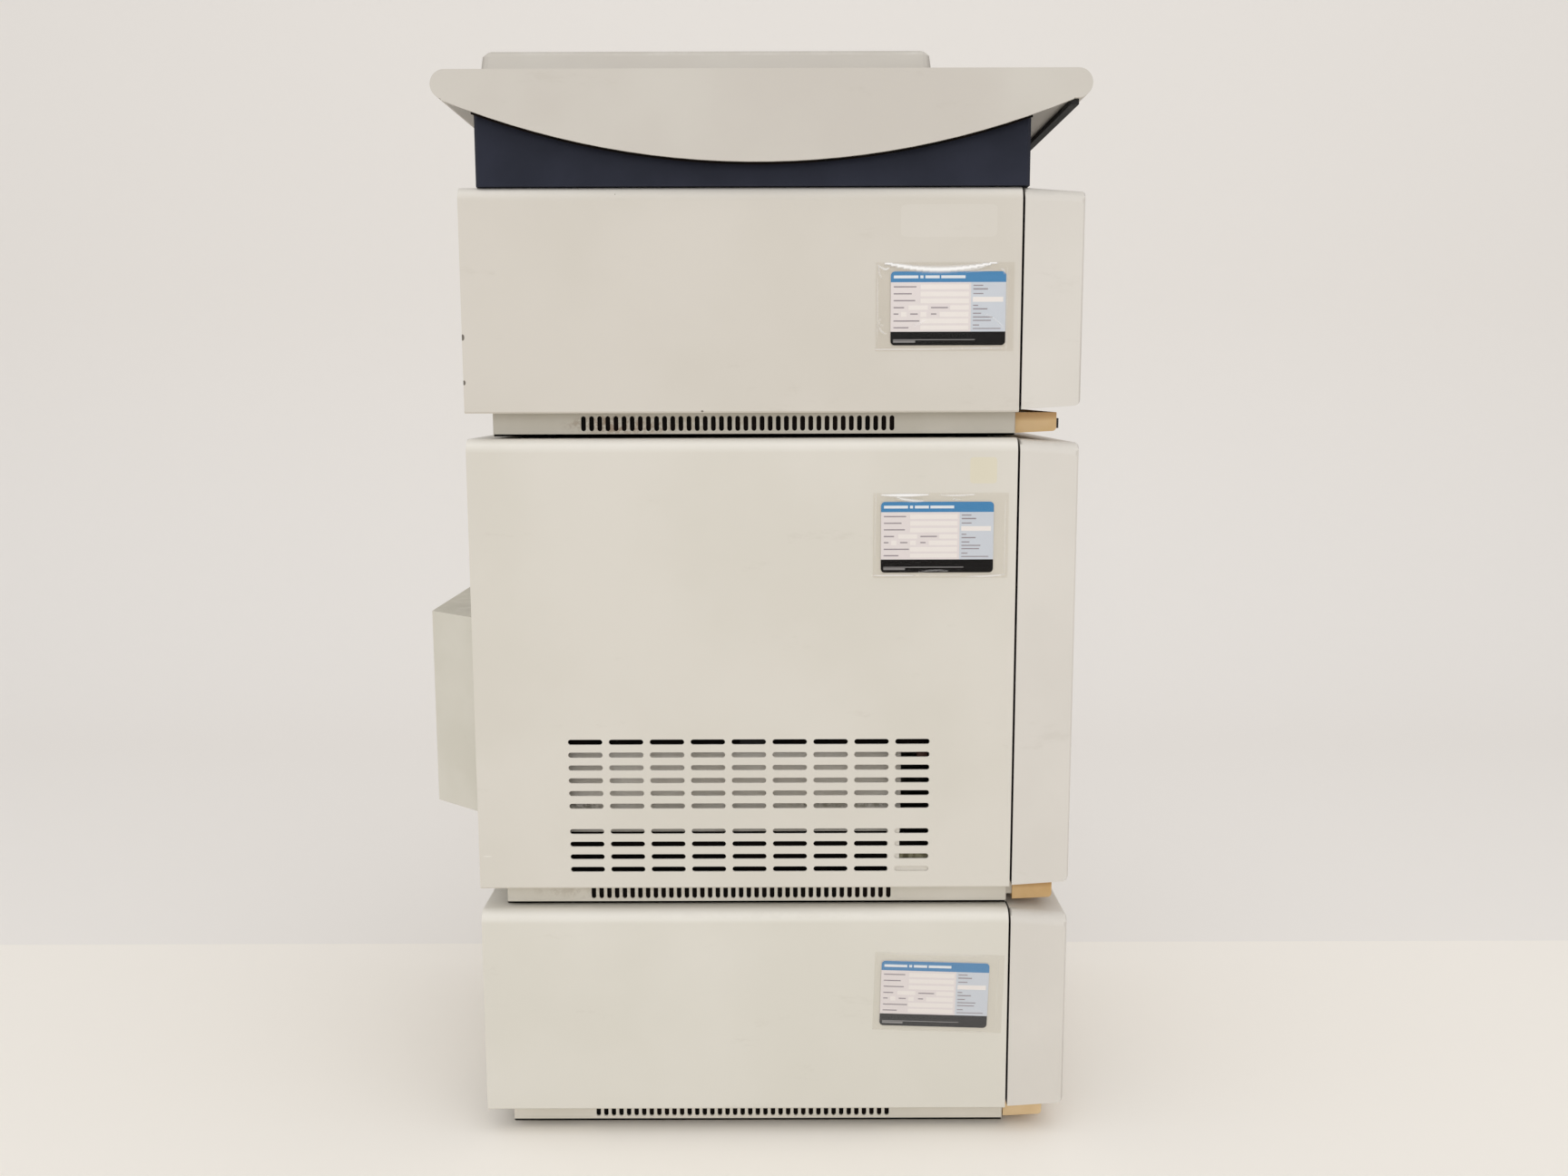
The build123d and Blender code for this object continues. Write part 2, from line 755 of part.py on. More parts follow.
def power_inlet(z):
    rear = rear_setback - inlet_bezel
    half_y = inlet_width / 2
    half_z = inlet_height / 2
    unit = block((rear, rear_setback), (inlet_y - half_y, inlet_y + half_y), (z - half_z, z + half_z))
    unit += block(
        (rear, rear_setback + inlet_body_depth),
        (inlet_y - half_y + inlet_bezel, inlet_y + half_y - inlet_bezel),
        (z - half_z + inlet_bezel, z + half_z - inlet_bezel),
    )
    socket_z = z - socket_drop
    unit -= block(
        (rear - 1, rear + socket_depth),
        (inlet_y - socket_width / 2, inlet_y + socket_width / 2),
        (socket_z - socket_height / 2, socket_z + socket_height / 2),
    )
    blade = socket_width / 10
    for step, rise in ((-1, -1), (0, 1), (1, -1)):
        y = inlet_y + step * socket_width * 0.28
        contact_z = socket_z + rise * socket_height * 0.12
        unit += block(
            (rear + socket_depth * 0.2, rear + socket_depth + 1),
            (y - blade / 2, y + blade / 2),
            (contact_z - blade, contact_z + blade),
        )
    pivot_x, pivot_z = rocker_pivot(z)
    pocket_y = rocker_width / 2 + fit_gap
    pocket_z = rocker_height / 2 + 2 * rocker_clear
    return unit - block(
        (rear - 1, pivot_x + rocker_height * 0.3),
        (inlet_y - pocket_y, inlet_y + pocket_y),
        (pivot_z - pocket_z, pivot_z + pocket_z),
    )


def power_switch(z):
    """A rocker that rests tilted to one side of its pivot."""
    pivot_x, pivot_z = rocker_pivot(z)
    half = rocker_height / 2
    profile = Polygon(
        (-half * 0.6, half), (-half * 0.4, 0), (-half * 0.6, -half), (half * 0.1, -half * 0.6),
        (half * 0.3, 0), (half * 0.1, half * 0.6), align=None,
    )
    rocker = extrude(Plane.XZ * profile, amount=rocker_width / 2, both=True)
    return Pos(pivot_x, inlet_y, pivot_z) * Rot(0, rocker_tilt, 0) * rocker


# Pump

def pump_drive():
    z = pump_case_z + pump_axis_z
    front = bulkhead_x - sheet
    case = block((front - drive_length, front), about(0, drive_width / 2), about(z, drive_height / 2))
    case = chamfer(case.edges().filter_by(Axis.X), drive_edge)
    return case + rod_x(front - drive_length - motor_length, 0, z, motor_radius, motor_length + 1)


def pump_heads():
    z = pump_case_z + pump_axis_z
    heads = []
    for side in (-1, 1):
        y = side * head_spacing / 2
        head = block(
            (bulkhead_x, bulkhead_x + head_depth),
            about(y, head_width / 2),
            about(z, head_height / 2),
        )
        valve_length = head_height + 2 * check_valve_length
        valve = extrude(RegularPolygon(check_valve_radius, 6), amount=valve_length)
        x = bulkhead_x + head_depth / 2
        heads.append(head + Pos(x, y, z - head_height / 2 - check_valve_length) * valve)
    return heads


def purge_valve():
    z = pump_case_z + pump_axis_z
    body = extrude(RegularPolygon(purge_body_radius, 6), amount=purge_body_length)
    body = Pos(bulkhead_x, purge_y, z) * Rot(0, 90, 0) * body
    return body - rod_x(bulkhead_x + 2, purge_y, z, purge_stem_radius + running_gap, purge_body_length)


def purge_knob():
    z = pump_case_z + pump_axis_z
    face_x = bulkhead_x + purge_body_length + fit_gap
    stem_x = bulkhead_x + 2 + fit_gap
    grip = RegularPolygon(purge_knob_radius, purge_flutes)
    grip = Pos(face_x, purge_y, z) * Rot(0, 90, 0) * extrude(grip, amount=purge_knob_length)
    return grip + rod_x(stem_x, purge_y, z, purge_stem_radius, face_x - stem_x + 1)


def proportioning_valve():
    z = pump_case_z + pump_axis_z
    half = proportioning_size / 2
    front = bulkhead_x + proportioning_depth
    valve = block((bulkhead_x, front), about(proportioning_y, half), about(z, half))
    offset = solenoid_spacing / 2
    solenoid = RegularPolygon(solenoid_radius, solenoid_sides)
    solenoid = Rot(0, 90, 0) * extrude(solenoid, amount=solenoid_length)
    for y in about(proportioning_y, offset):
        for level in about(z, offset):
            valve += Pos(front - 1, y, level) * solenoid
    return valve


# Sampler

def sample_compartment():
    """An insulated tub, open at the top, that holds the racks."""
    z = sampler_case_z + compartment_bottom
    half = half_width - compartment_inset
    front = compartment_rear + compartment_length
    tub = block((compartment_rear, front), (-half, half), (z, z + compartment_height))
    rim_z = z + compartment_height
    tub += block((front - 1, front + compartment_lip), (-half, half), (rim_z - compartment_lip_height, rim_z))
    inner = half - compartment_wall
    return tub - block(
        (compartment_rear + compartment_wall, front - compartment_wall),
        (-inner, inner),
        (z + compartment_wall, z + 2 * compartment_height),
    )


def side_frame():
    """An upright with a foot that stiffens the cover beside its vents."""
    low = sampler_case_z + flange_top
    foot = low + frame_foot_height
    step = low + frame_step_height
    top = sampler_case_z + sampler_height - sheet - fit_gap - frame_top_gap
    front = bulkhead_x - frame_setback
    upright = front - frame_width
    rear = front - frame_length
    heel = rear + frame_heel
    outline = Polygon(
        (rear, low), (front, low), (front, top), (upright, top),
        (upright, foot), (heel, foot), (heel, step), (rear, step), align=None,
    )
    return extrude(Plane.XZ.offset(inside_half - sheet) * outline, amount=sheet)


def sample_racks():
    z = sampler_case_z + compartment_bottom + compartment_wall
    middle_x = compartment_rear + compartment_length / 2
    rack_length = compartment_length - 2 * (compartment_wall + rack_clear)
    room = 2 * (half_width - compartment_inset - compartment_wall)
    rack_width = (room - (rack_count + 1) * rack_clear) / rack_count
    pitch = rack_width + rack_clear
    columns = [(n - (rack_columns - 1) / 2) * rack_pocket_pitch_x for n in range(rack_columns)]
    rows = [(n - (rack_rows - 1) / 2) * rack_pocket_pitch_y for n in range(rack_rows)]
    pocket = Rectangle(rack_pocket, rack_pocket)
    pockets = Sketch() + [Pos(x, y) * pocket for x in columns for y in rows]
    rack = extrude(Rectangle(rack_length, rack_width), amount=rack_height)
    rack -= extrude(Pos(0, 0, rack_height - rack_pocket_depth) * pockets, amount=rack_height)
    return [Pos(middle_x, (n - (rack_count - 1) / 2) * pitch, z) * rack for n in range(rack_count)]


def cooling_unit():
    """A finned block that stands in the base and carries the compartment."""
    low = sampler_case_z - plinth_height + sheet
    high = sampler_case_z + compartment_bottom
    front = cooler_rear + cooler_length
    unit = block((cooler_rear, front), (-cooler_width / 2, cooler_width / 2), (low, high))
    y = cooler_fin_pitch / 2 - cooler_width / 2 + (cooler_width % cooler_fin_pitch) / 2
    gaps = []
    while y < cooler_width / 2:
        gaps.append(
            block(
                (cooler_rear - 1, front + 1),
                (y - cooler_fin_gap / 2, y + cooler_fin_gap / 2),
                (low + cooler_fin_gap, low + cooler_fin_gap + cooler_fin_depth),
            )
        )
        y += cooler_fin_pitch
    return unit - gaps


def beam_levels():
    post_z = sampler_case_z + compartment_bottom + compartment_height
    return post_z, post_z + gantry_rise


def needle_gantry():
    """Two posts on the rim of the compartment and the beam across them."""
    post_z, beam_z = beam_levels()
    half = half_width - compartment_inset
    frame = block(about(gantry_x, gantry_bar / 2), about(0, half), (post_z, beam_z + gantry_bar))
    between = half - compartment_wall
    return frame - block(about(gantry_x, gantry_bar), about(0, between), (post_z - 1, beam_z))


def needle_carriage():
    """A sleeve on the beam, with a square guide for the needle rod in front."""
    beam_z = beam_levels()[1]
    reach = gantry_bar / 2 + fit_gap
    outer = reach + carriage_wall
    middle_z = beam_z + gantry_bar / 2
    half = carriage_width / 2
    sleeve = block(about(gantry_x, outer), about(0, half), about(middle_z, outer))
    sleeve -= block(about(gantry_x, reach), about(0, half + 1), about(middle_z, reach))
    front = gantry_x + outer
    nose = block((front - 1, front + nose_length), about(0, nose_length / 2), about(middle_z, outer))
    guide = needle_rod / 2 + fit_gap
    x = front + nose_length / 2
    return sleeve + nose - block(about(x, guide), about(0, guide), about(middle_z, 2 * outer))


def needle_head():
    beam_z = beam_levels()[1]
    x = gantry_x + gantry_bar / 2 + fit_gap + carriage_wall + nose_length / 2
    low = beam_z - needle_rod_drop
    half = needle_rod / 2
    rod = block(about(x, half), about(0, half), (low, low + needle_rod_length))
    needle = extrude(RegularPolygon(needle_radius, 6), amount=needle_length + 1)
    return rod + Pos(x, 0, low - needle_length) * needle


def sampler_bulkhead():
    """The sampler's bulkhead has a window to the racks."""
    top_z = sampler_case_z + sampler_height
    return bulkhead(sampler_case_z, sampler_height) - block(
        (bulkhead_x - 2 * sheet, bulkhead_x + sheet),
        (window_left - half_width, half_width - window_right),
        (sampler_case_z + window_sill, top_z - window_head),
    )


def injection_valve():
    z = sampler_case_z + valve_z
    valve = rod_x(bulkhead_x, valve_y, z, valve_radius, valve_length)
    stem = Rot(0, 90, 0) * extrude(RegularPolygon(valve_stem_radius, 6), amount=valve_stem_length + 1)
    return valve + Pos(bulkhead_x + valve_length - 1, valve_y, z) * stem


def syringe_barrel():
    z = sampler_case_z + syringe_z
    x = bulkhead_x + syringe_stand_off
    outer = syringe_bore_radius + syringe_wall
    barrel = extrude(RegularPolygon(outer, syringe_facets), amount=syringe_height)
    bracket = about(z + syringe_height / 2, syringe_bracket)
    barrel = Pos(x, valve_y, z) * barrel + block((bulkhead_x, x), about(valve_y, outer), bracket)
    return barrel - rod_z(x, valve_y, z - 1, syringe_bore_radius, syringe_height - syringe_wall + 1)


def syringe_plunger():
    z = sampler_case_z + syringe_z
    x = bulkhead_x + syringe_stand_off
    piston_z = z + syringe_height - syringe_wall - fit_gap - syringe_piston
    foot_z = z - 4 * syringe_foot
    plunger = rod_z(x, valve_y, piston_z, syringe_bore_radius - running_gap, syringe_piston)
    rod = extrude(RegularPolygon(syringe_rod_radius, 6), amount=piston_z - foot_z + 1)
    foot = extrude(RegularPolygon(syringe_bore_radius, 6), amount=syringe_foot)
    return plunger + Pos(x, valve_y, foot_z) * rod + Pos(x, valve_y, foot_z) * foot


# Detector

def optical_bench():
    z = detector_case_z + optics_bottom
    front = bulkhead_x - sheet
    low_y = optics_middle_y - optics_width / 2
    bench = block((front - optics_length, front), (low_y, low_y + optics_width), (z, z + optics_height))
    return chamfer(bench.edges().filter_by(Axis.Z).sort_by(Axis.X)[:2], optics_edge)


def lamp_housing():
    """A finned block on top of the optical bench."""
    z = detector_case_z + optics_bottom + optics_height
    x = bulkhead_x - sheet - optics_length / 2
    low_x = x - lamp_size / 2
    low_y = optics_middle_y - lamp_size / 2
    lamp = block((low_x, low_x + lamp_size), (low_y, low_y + lamp_size), (z, z + lamp_height))
    gaps = []
    for n in range(lamp_fins):
        y = optics_middle_y + (n - (lamp_fins - 1) / 2) * lamp_fin_pitch
        zs = (z + lamp_height - lamp_fin_depth, z + 2 * lamp_height)
        gaps.append(block((low_x - 1, low_x + lamp_size + 1), about(y, lamp_fin_gap / 2), zs))
    return lamp - gaps


def flow_cell():
    z = detector_case_z + optics_bottom + optics_height / 2
    cell = rod_x(bulkhead_x, optics_middle_y, z, flow_cell_radius, flow_cell_length)
    front = bulkhead_x + flow_cell_length
    for level in (z - flow_cell_radius / 2, z + flow_cell_radius / 2):
        nut = extrude(RegularPolygon(flow_cell_nut_radius, 6), amount=flow_cell_nut_length + 1)
        cell += Pos(front - 1, optics_middle_y, level) * Rot(0, 90, 0) * nut
    return cell


# Electronics in the bases

def power_supply(case_z):
    z = case_z - plinth_height + sheet
    right = plinth_half - sheet - board_gap - board_thickness - supply_gap
    xs = (supply_rear, supply_rear + supply_length)
    return block(xs, (right - supply_width, right), (z, z + supply_height))


def main_board(case_z):
    z = case_z - plinth_height + sheet
    y = plinth_half - sheet - board_gap
    return block((board_rear, board_rear + board_length), (y - board_thickness, y), (z, z + board_height))


# The bottom of each module's cover and its height

cases = {
    "pump": (pump_case_z, pump_height),
    "sampler": (sampler_case_z, sampler_height),
    "detector": (detector_case_z, detector_height),
}

# Cards and their pouches: the pouch's middle behind the front of the cover and above its bottom, its
# turn and the card's shift inside it

card_places = {
    "detector": (56.7, 77.9, 0.0, 2.4, -1.2),
    "sampler": (57.7, 278.8, 0.0, -2.7, -1.2),
    "pump": (55.0, 98.3, -1.8, -3.2, -1.2),
}


def side_sheet(module, shift, form, gap, thickness):
    """A flat form on the left side, its inner face at the gap from the cover."""
    setback, rise, turn = card_places[module][:3]
    plane = Plane.XZ.offset(half_width + gap)
    middle = Pos(body_length - setback, cases[module][0] + rise)
    form = plane * middle * Rot(0, 0, turn) * Pos(*shift) * form
    return extrude(form, amount=thickness)


def label_card(module):
    form = chamfer(Rectangle(card_width, card_height).vertices(), card_nip)
    return side_sheet(module, card_places[module][3:], form, pouch_film + pouch_clear / 2, card_thickness)


def label_pouch(module):
    """Two films with the card's pocket between them, open at the top."""
    depth = 2 * pouch_film + card_thickness + pouch_clear
    pouch = side_sheet(module, (0, 0), Rectangle(pouch_width, pouch_height), 0, depth)
    form = Rectangle(pouch_width - 2 * pouch_seam, pouch_height)
    return pouch - side_sheet(module, (0, pouch_seam), form, pouch_film, card_thickness + pouch_clear)


os.makedirs("parts", exist_ok=True)

hood_middle_z = sampler_case_z + hood_bottom + hood_height / 2
fans = {
    "pump": (panel_plate_x, fan_y, pump_case_z + fan_z),
    "sampler": (sheet - hood_reach, 0.0, hood_middle_z),
    "detector": (panel_plate_x, fan_y, detector_case_z + fan_z),
}
inlets = {
    "pump": pump_case_z + inlet_z,
    "sampler": sampler_case_z + inlet_z + sampler_inlet_rise,
    "detector": detector_case_z + inlet_z,
}
covers = {module: cover(*case) for module, case in cases.items()}
covers["sampler"] -= vent_field(sampler_case_z)
panels = {module: rear_panel(*case, inlets[module]) for module, case in cases.items()}
for module in ("pump", "detector"):
    x, y, z = fans[module]
    panels[module] -= grille(0, y, z, 2 * x)
panels["sampler"] -= rod_x(0, 0, hood_middle_z, fan_bore_radius, 2 * panel_plate_x)

for module, case in cases.items():
    save(f"{module}_cover", covers[module])
    save(f"{module}_base", base(case[0]))
    save(f"{module}_rear_panel", panels[module])
    save(f"{module}_door", door(*case))
    save(f"{module}_control_panel", control_panel(*case))
    save(f"{module}_drip_tray", drip_tray(module))
    save(f"{module}_power_switch", power_switch(inlets[module]))
    save(f"{module}_fan_rotor", fan_rotor(*fans[module]))
save("pump_bulkhead", bulkhead(*cases["pump"]))
save("sampler_bulkhead", sampler_bulkhead())
save("detector_bulkhead", bulkhead(*cases["detector"]))

bench_feet = feet(0, bench_foot_height)
stack_feet = feet(pump_top_z, stack_foot_height) + feet(sampler_top_z, stack_foot_height)
save("feet", *bench_feet, *stack_feet)
save("hinge_rods", *[hinge_rod(*case) for case in cases.values()])
save("fan_frames", *[fan_frame(*place) for place in fans.values()])
save("power_inlets", *[power_inlet(z) for z in inlets.values()])
save("power_supplies", *[power_supply(case[0]) for case in cases.values()])
save("main_boards", *[main_board(case[0]) for case in cases.values()])
save("label_cards", *[label_card(module) for module in cases])
save("label_pouches", *[label_pouch(module) for module in cases])

save("tray_base", tray_base())
save("solvent_tray", solvent_tray())
save("bottle_well", bottle_well())
save("tray_edging", tray_edging())
save("rear_hood", rear_hood())
save("drain_spout", drain_spout("detector"))

save("pump_drive", pump_drive())
save("pump_heads", *pump_heads())
save("purge_valve", purge_valve())
save("purge_knob", purge_knob())
save("proportioning_valve", proportioning_valve())

save("cooling_unit", cooling_unit())
save("sample_compartment", sample_compartment())
save("side_frame", side_frame())
save("sample_racks", *sample_racks())
save("needle_gantry", needle_gantry())
save("needle_carriage", needle_carriage())
save("needle_head", needle_head())
save("injection_valve", injection_valve())
save("syringe_barrel", syringe_barrel())
save("syringe_plunger", syringe_plunger())

save("optical_bench", optical_bench())
save("lamp_housing", lamp_housing())
save("flow_cell", flow_cell())
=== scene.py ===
import math
import random

import bmesh
import bpy
from mathutils import Euler, Matrix, Vector


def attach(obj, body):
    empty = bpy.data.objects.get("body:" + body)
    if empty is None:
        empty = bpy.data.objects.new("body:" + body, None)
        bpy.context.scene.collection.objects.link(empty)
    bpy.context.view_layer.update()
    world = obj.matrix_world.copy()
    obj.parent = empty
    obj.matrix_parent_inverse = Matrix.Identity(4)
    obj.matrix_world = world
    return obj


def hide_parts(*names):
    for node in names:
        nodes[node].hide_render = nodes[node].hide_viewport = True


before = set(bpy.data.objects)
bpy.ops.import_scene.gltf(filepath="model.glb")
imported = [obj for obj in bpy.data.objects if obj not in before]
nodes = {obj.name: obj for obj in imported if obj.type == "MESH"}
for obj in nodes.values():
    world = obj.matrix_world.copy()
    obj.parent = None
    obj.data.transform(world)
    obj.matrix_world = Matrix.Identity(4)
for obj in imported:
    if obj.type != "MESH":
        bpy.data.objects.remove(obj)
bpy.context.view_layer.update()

scene = bpy.context.scene
mm = 0.001
benchMiddle = 210.15  # mm from the rear of the cases to the middle of the footprint
modules = ("pump", "sampler", "detector")
print("frame loaded")


# Colours and small helpers

# The distance along X from the middle of the footprint, from mm forward of the rear of the cases
def benchX(x):
    return (x - benchMiddle) * mm


# A hex sRGB code as linear RGBA
def linear(code, alpha=1.0):
    channels = [int(code[i:i + 2], 16) / 255 for i in (0, 2, 4)]
    return tuple(c / 12.92 if c <= 0.04045 else ((c + 0.055) / 1.055) ** 2.4 for c in channels) + (alpha,)


# A node with its attributes and input values set and its inputs linked
def addNode(tree, kind, settings=None, links=None):
    node = tree.nodes.new(kind)
    for key, value in (settings or {}).items():
        if isinstance(key, str) and hasattr(node, key):
            setattr(node, key, value)
        else:
            node.inputs[key].default_value = value
    for key, source in (links or {}).items():
        tree.links.new(source, node.inputs[key])
    return node


# An object of this data, put in the scene
def placed(name, data):
    obj = bpy.data.objects.new(name, data)
    scene.collection.objects.link(obj)
    return obj


def mathNode(tree, operation, a, b=None, clamp=False):
    node = addNode(tree, "ShaderNodeMath", {"operation": operation, "use_clamp": clamp})
    for index, value in enumerate((a, b)):
        if value is None:
            continue
        if isinstance(value, (int, float)):
            node.inputs[index].default_value = value
        else:
            tree.links.new(value, node.inputs[index])
    return node.outputs[0]


# Noise with features of this many mm, spread from 0 to 1 between low and high
def noise(tree, coords, size, detail=3.0, roughness=0.5, low=0.35, high=0.65, stretch=(1, 1, 1)):
    scale = tuple(s / (size * mm) for s in stretch)
    scaled = addNode(tree, "ShaderNodeMapping", {"Scale": scale}, {"Vector": coords})
    texture = addNode(tree, "ShaderNodeTexNoise", {
        "Scale": 1.0, "Detail": detail, "Roughness": roughness,
    }, {"Vector": scaled.outputs[0]})
    spread = addNode(tree, "ShaderNodeMapRange", {
        "interpolation_type": "SMOOTHSTEP", "From Min": low, "From Max": high,
    }, {"Value": texture.outputs[0]})
    return spread.outputs[0]


# A mix of two colours or sockets
def mixColour(tree, factor, a, b):
    node = addNode(tree, "ShaderNodeMix", {"data_type": "RGBA"})
    for socket, value in ((node.inputs[0], factor), (node.inputs[6], a), (node.inputs[7], b)):
        if isinstance(value, (int, float, tuple)):
            socket.default_value = value
        else:
            tree.links.new(value, socket)
    return node.outputs[2]


# 1 inside a soft ellipse on the side, given by middle and half sizes in bench mm
def spotMask(tree, coords, spot):
    middle = (benchX(spot["x"]), 0.0, spot["z"] * mm)
    moved = addNode(tree, "ShaderNodeMapping", {
        "vector_type": "TEXTURE", "Location": middle, "Scale": (spot["wide"] * mm, 1.0, spot["high"] * mm),
    }, {"Vector": coords})
    split = addNode(tree, "ShaderNodeSeparateXYZ", {}, {"Vector": moved.outputs[0]})
    power = spot.get("power", 2.0)
    across = mathNode(tree, "ABSOLUTE", split.outputs[0])
    up = mathNode(tree, "ABSOLUTE", split.outputs[2])
    square = mathNode(tree, "ADD", mathNode(tree, "POWER", across, power), mathNode(tree, "POWER", up, power))
    edge = addNode(tree, "ShaderNodeMapRange", {
        "interpolation_type": "SMOOTHSTEP", "From Min": 1.0, "From Max": 1.0 - spot["soft"],
    }, {"Value": square})
    if "side" not in spot:
        return edge.outputs[0]
    place = addNode(tree, "ShaderNodeSeparateXYZ", {}, {"Vector": coords})
    onSide = mathNode(tree, "LESS_THAN", place.outputs[1], spot["side"] * mm)
    return mathNode(tree, "MULTIPLY", edge.outputs[0], onSide)


def newMaterial(name):
    material = bpy.data.materials.new(name)
    material.use_nodes = True
    tree = material.node_tree
    tree.nodes.clear()
    coords = addNode(tree, "ShaderNodeTexCoord").outputs["Object"]
    shader = addNode(tree, "ShaderNodeBsdfPrincipled")
    addNode(tree, "ShaderNodeOutputMaterial", {}, {"Surface": shader.outputs[0]})
    return material, tree, coords, shader


wearAndTopLightSettings = {
    "scuff": {
        "size": 55, "detail": 6.0, "roughness": 0.75, "low": 0.6, "high": 0.72, "stretch": (0.5, 1, 1.6),
    },
    # The second colour is the pale of the painted highlight on faces turned up
    "scuffColour": "A59C8B", "paintedTopLightColour": "F6F2EA",
    "dust": {"size": 16, "detail": 5.0, "roughness": 0.7, "low": 0.25, "high": 0.6}, "dustColour": "8F866F",
    "spot": {"detail": 4.0, "roughness": 0.7, "low": 0.4, "high": 0.6},
    "grain": {"detail": 2.0, "roughness": 0.5, "low": 0.3, "high": 0.7},
    "grainDepth": 0.02,  # share of the grain's own size
}


# A coated, moulded or machined surface with soft mottling, spots of dirt and wear and of painted shade, a
# painted highlight on faces turned up, and a fine grain
def surface(name, settings):
    material, tree, coords, shader = newMaterial(name)
    base = linear(settings["colour"])
    tone = linear(settings.get("tone", settings["colour"]))
    colour = mixColour(tree, noise(tree, coords, settings.get("mottle", 90)), base, tone)  # patches in mm
    for spot in settings.get("spots", ()):
        mask = mathNode(tree, "MULTIPLY", spotMask(tree, coords, spot), spot["strength"])
        if spot.get("grain"):
            broken = noise(tree, coords, spot["grain"], **wearAndTopLightSettings["spot"])
            mask = mathNode(tree, "MULTIPLY", mask, broken)
        colour = mixColour(tree, mask, colour, linear(spot["colour"]))
    if settings.get("scuff"):
        mask = mathNode(tree, "MULTIPLY", noise(tree, coords, **wearAndTopLightSettings["scuff"]), settings["scuff"])
        colour = mixColour(tree, mask, colour, linear(wearAndTopLightSettings["scuffColour"]))
    normal = addNode(tree, "ShaderNodeNewGeometry").outputs["Normal"]
    up = addNode(tree, "ShaderNodeSeparateXYZ", {}, {"Vector": normal}).outputs[2]
    # Faces turned up are mixed towards a pale colour: a painted highlight on tops and top rounds
    if settings.get("paintedTopLight"):
        edge = addNode(tree, "ShaderNodeMapRange", {"From Min": 0.1, "From Max": 0.6}, {"Value": up})
        mask = mathNode(tree, "MULTIPLY", edge.outputs[0], settings["paintedTopLight"])
        colour = mixColour(tree, mask, colour, linear(wearAndTopLightSettings["paintedTopLightColour"]))
    if settings.get("dust"):
        lying = addNode(tree, "ShaderNodeMapRange", {"From Min": 0.3, "From Max": 0.8}, {"Value": up})
        mask = mathNode(tree, "MULTIPLY", lying.outputs[0], noise(tree, coords, **wearAndTopLightSettings["dust"]))
        mask = mathNode(tree, "MULTIPLY", mask, settings["dust"])
        colour = mixColour(tree, mask, colour, linear(settings.get("dirt", wearAndTopLightSettings["dustColour"])))
    tree.links.new(colour, shader.inputs["Base Color"])
    shader.inputs["Metallic"].default_value = settings.get("metal", 0.0)
    shader.inputs["Roughness"].default_value = settings["rough"]
    shader.inputs["Specular IOR Level"].default_value = settings.get("specular", 0.5)
    if settings.get("grain"):
        height = noise(tree, coords, settings["grain"], **wearAndTopLightSettings["grain"],
                       stretch=settings.get("stretch", (1, 1, 1)))
        bump = addNode(tree, "ShaderNodeBump", {
            "Strength": settings["bump"], "Distance": wearAndTopLightSettings["grainDepth"] * mm * settings["grain"],
        }, {"Height": height})
        tree.links.new(bump.outputs[0], shader.inputs["Normal"])
    return material


def repaint(material, *names):
    for name in names:
        obj = nodes[name]
        obj.data.materials.clear()
        obj.data.materials.append(material)


# Materials of the CAD pieces

caseHeights = {"pump": 22.0, "sampler": 207.4, "detector": 579.3}  # undersides of the cases

caseSettings = {  # powder-coated steel
    "colour": "D9D4CA", "tone": "D5D0C5", "mottle": 140, "rough": 0.45, "specular": 0.5, "grain": 1.2,
    # The pale mix on faces turned up is a painted highlight on the tops and top rounds
    "bump": 0.12, "scuff": 0.12, "paintedTopLight": 0.4,
}
casePaint = surface("casePaint", caseSettings)
doorPlastic = surface("doorPlastic", {  # moulded and painted plastic
    "colour": "DAD5CD", "tone": "D6D1C9", "mottle": 120, "rough": 0.5, "specular": 0.3, "grain": 0.9,
    "bump": 0.15, "scuff": 0.1, "dust": 0.06,
})
trayPlastic = surface("trayPlastic", {  # textured moulded plastic
    "colour": "CDC8BF", "tone": "C8C2B9", "mottle": 120, "rough": 0.6, "specular": 0.3, "grain": 0.8,
    "bump": 0.25, "scuff": 0.1, "dust": 0.15,
})
navyPlastic = surface("navyPlastic", {  # textured moulded plastic
    "colour": "222531", "tone": "282B38", "mottle": 60, "rough": 0.6, "specular": 0.15, "grain": 0.8,
    "bump": 0.3,
})
tanColours = {
    "pump": ("E4C89D", "DDBF91"), "sampler": ("D6B380", "CEA974"), "detector": ("D8B98B", "D2B180"),
}
tanPlastics = {
    module: surface(f"{module}TanPlastic", {  # solvent-proof moulded plastic, yellowed
        "colour": colour, "tone": tone, "mottle": 25, "specular": 0.3, "rough": 0.5, "grain": 0.8,
        "bump": 0.2,
        # The dark band along its top, under the door, is painted shade
        "spots": [{"x": 430, "z": caseHeights[module], "wide": 60, "high": 7.5, "soft": 0.9, "strength": 0.6,
                   "colour": "A87C48"}],
    })
    for module, (colour, tone) in tanColours.items()
}
panelPlastic = surface("panelPlastic", {  # moulded plastic
    "colour": "3A3D44", "rough": 0.4, "grain": 0.8, "bump": 0.1,
})
blackPlastic = surface("blackPlastic", {  # moulded plastic
    "colour": "17171A", "rough": 0.45, "grain": 1.0, "bump": 0.15,
})
valvePlastic = surface("valvePlastic", {  # white fluoropolymer
    "colour": "DDDAD2", "rough": 0.4, "grain": 1.0, "bump": 0.1,
})
rackPlastic = surface("rackPlastic", {  # moulded plastic
    "colour": "566274", "rough": 0.45, "grain": 1.0, "bump": 0.1,
})
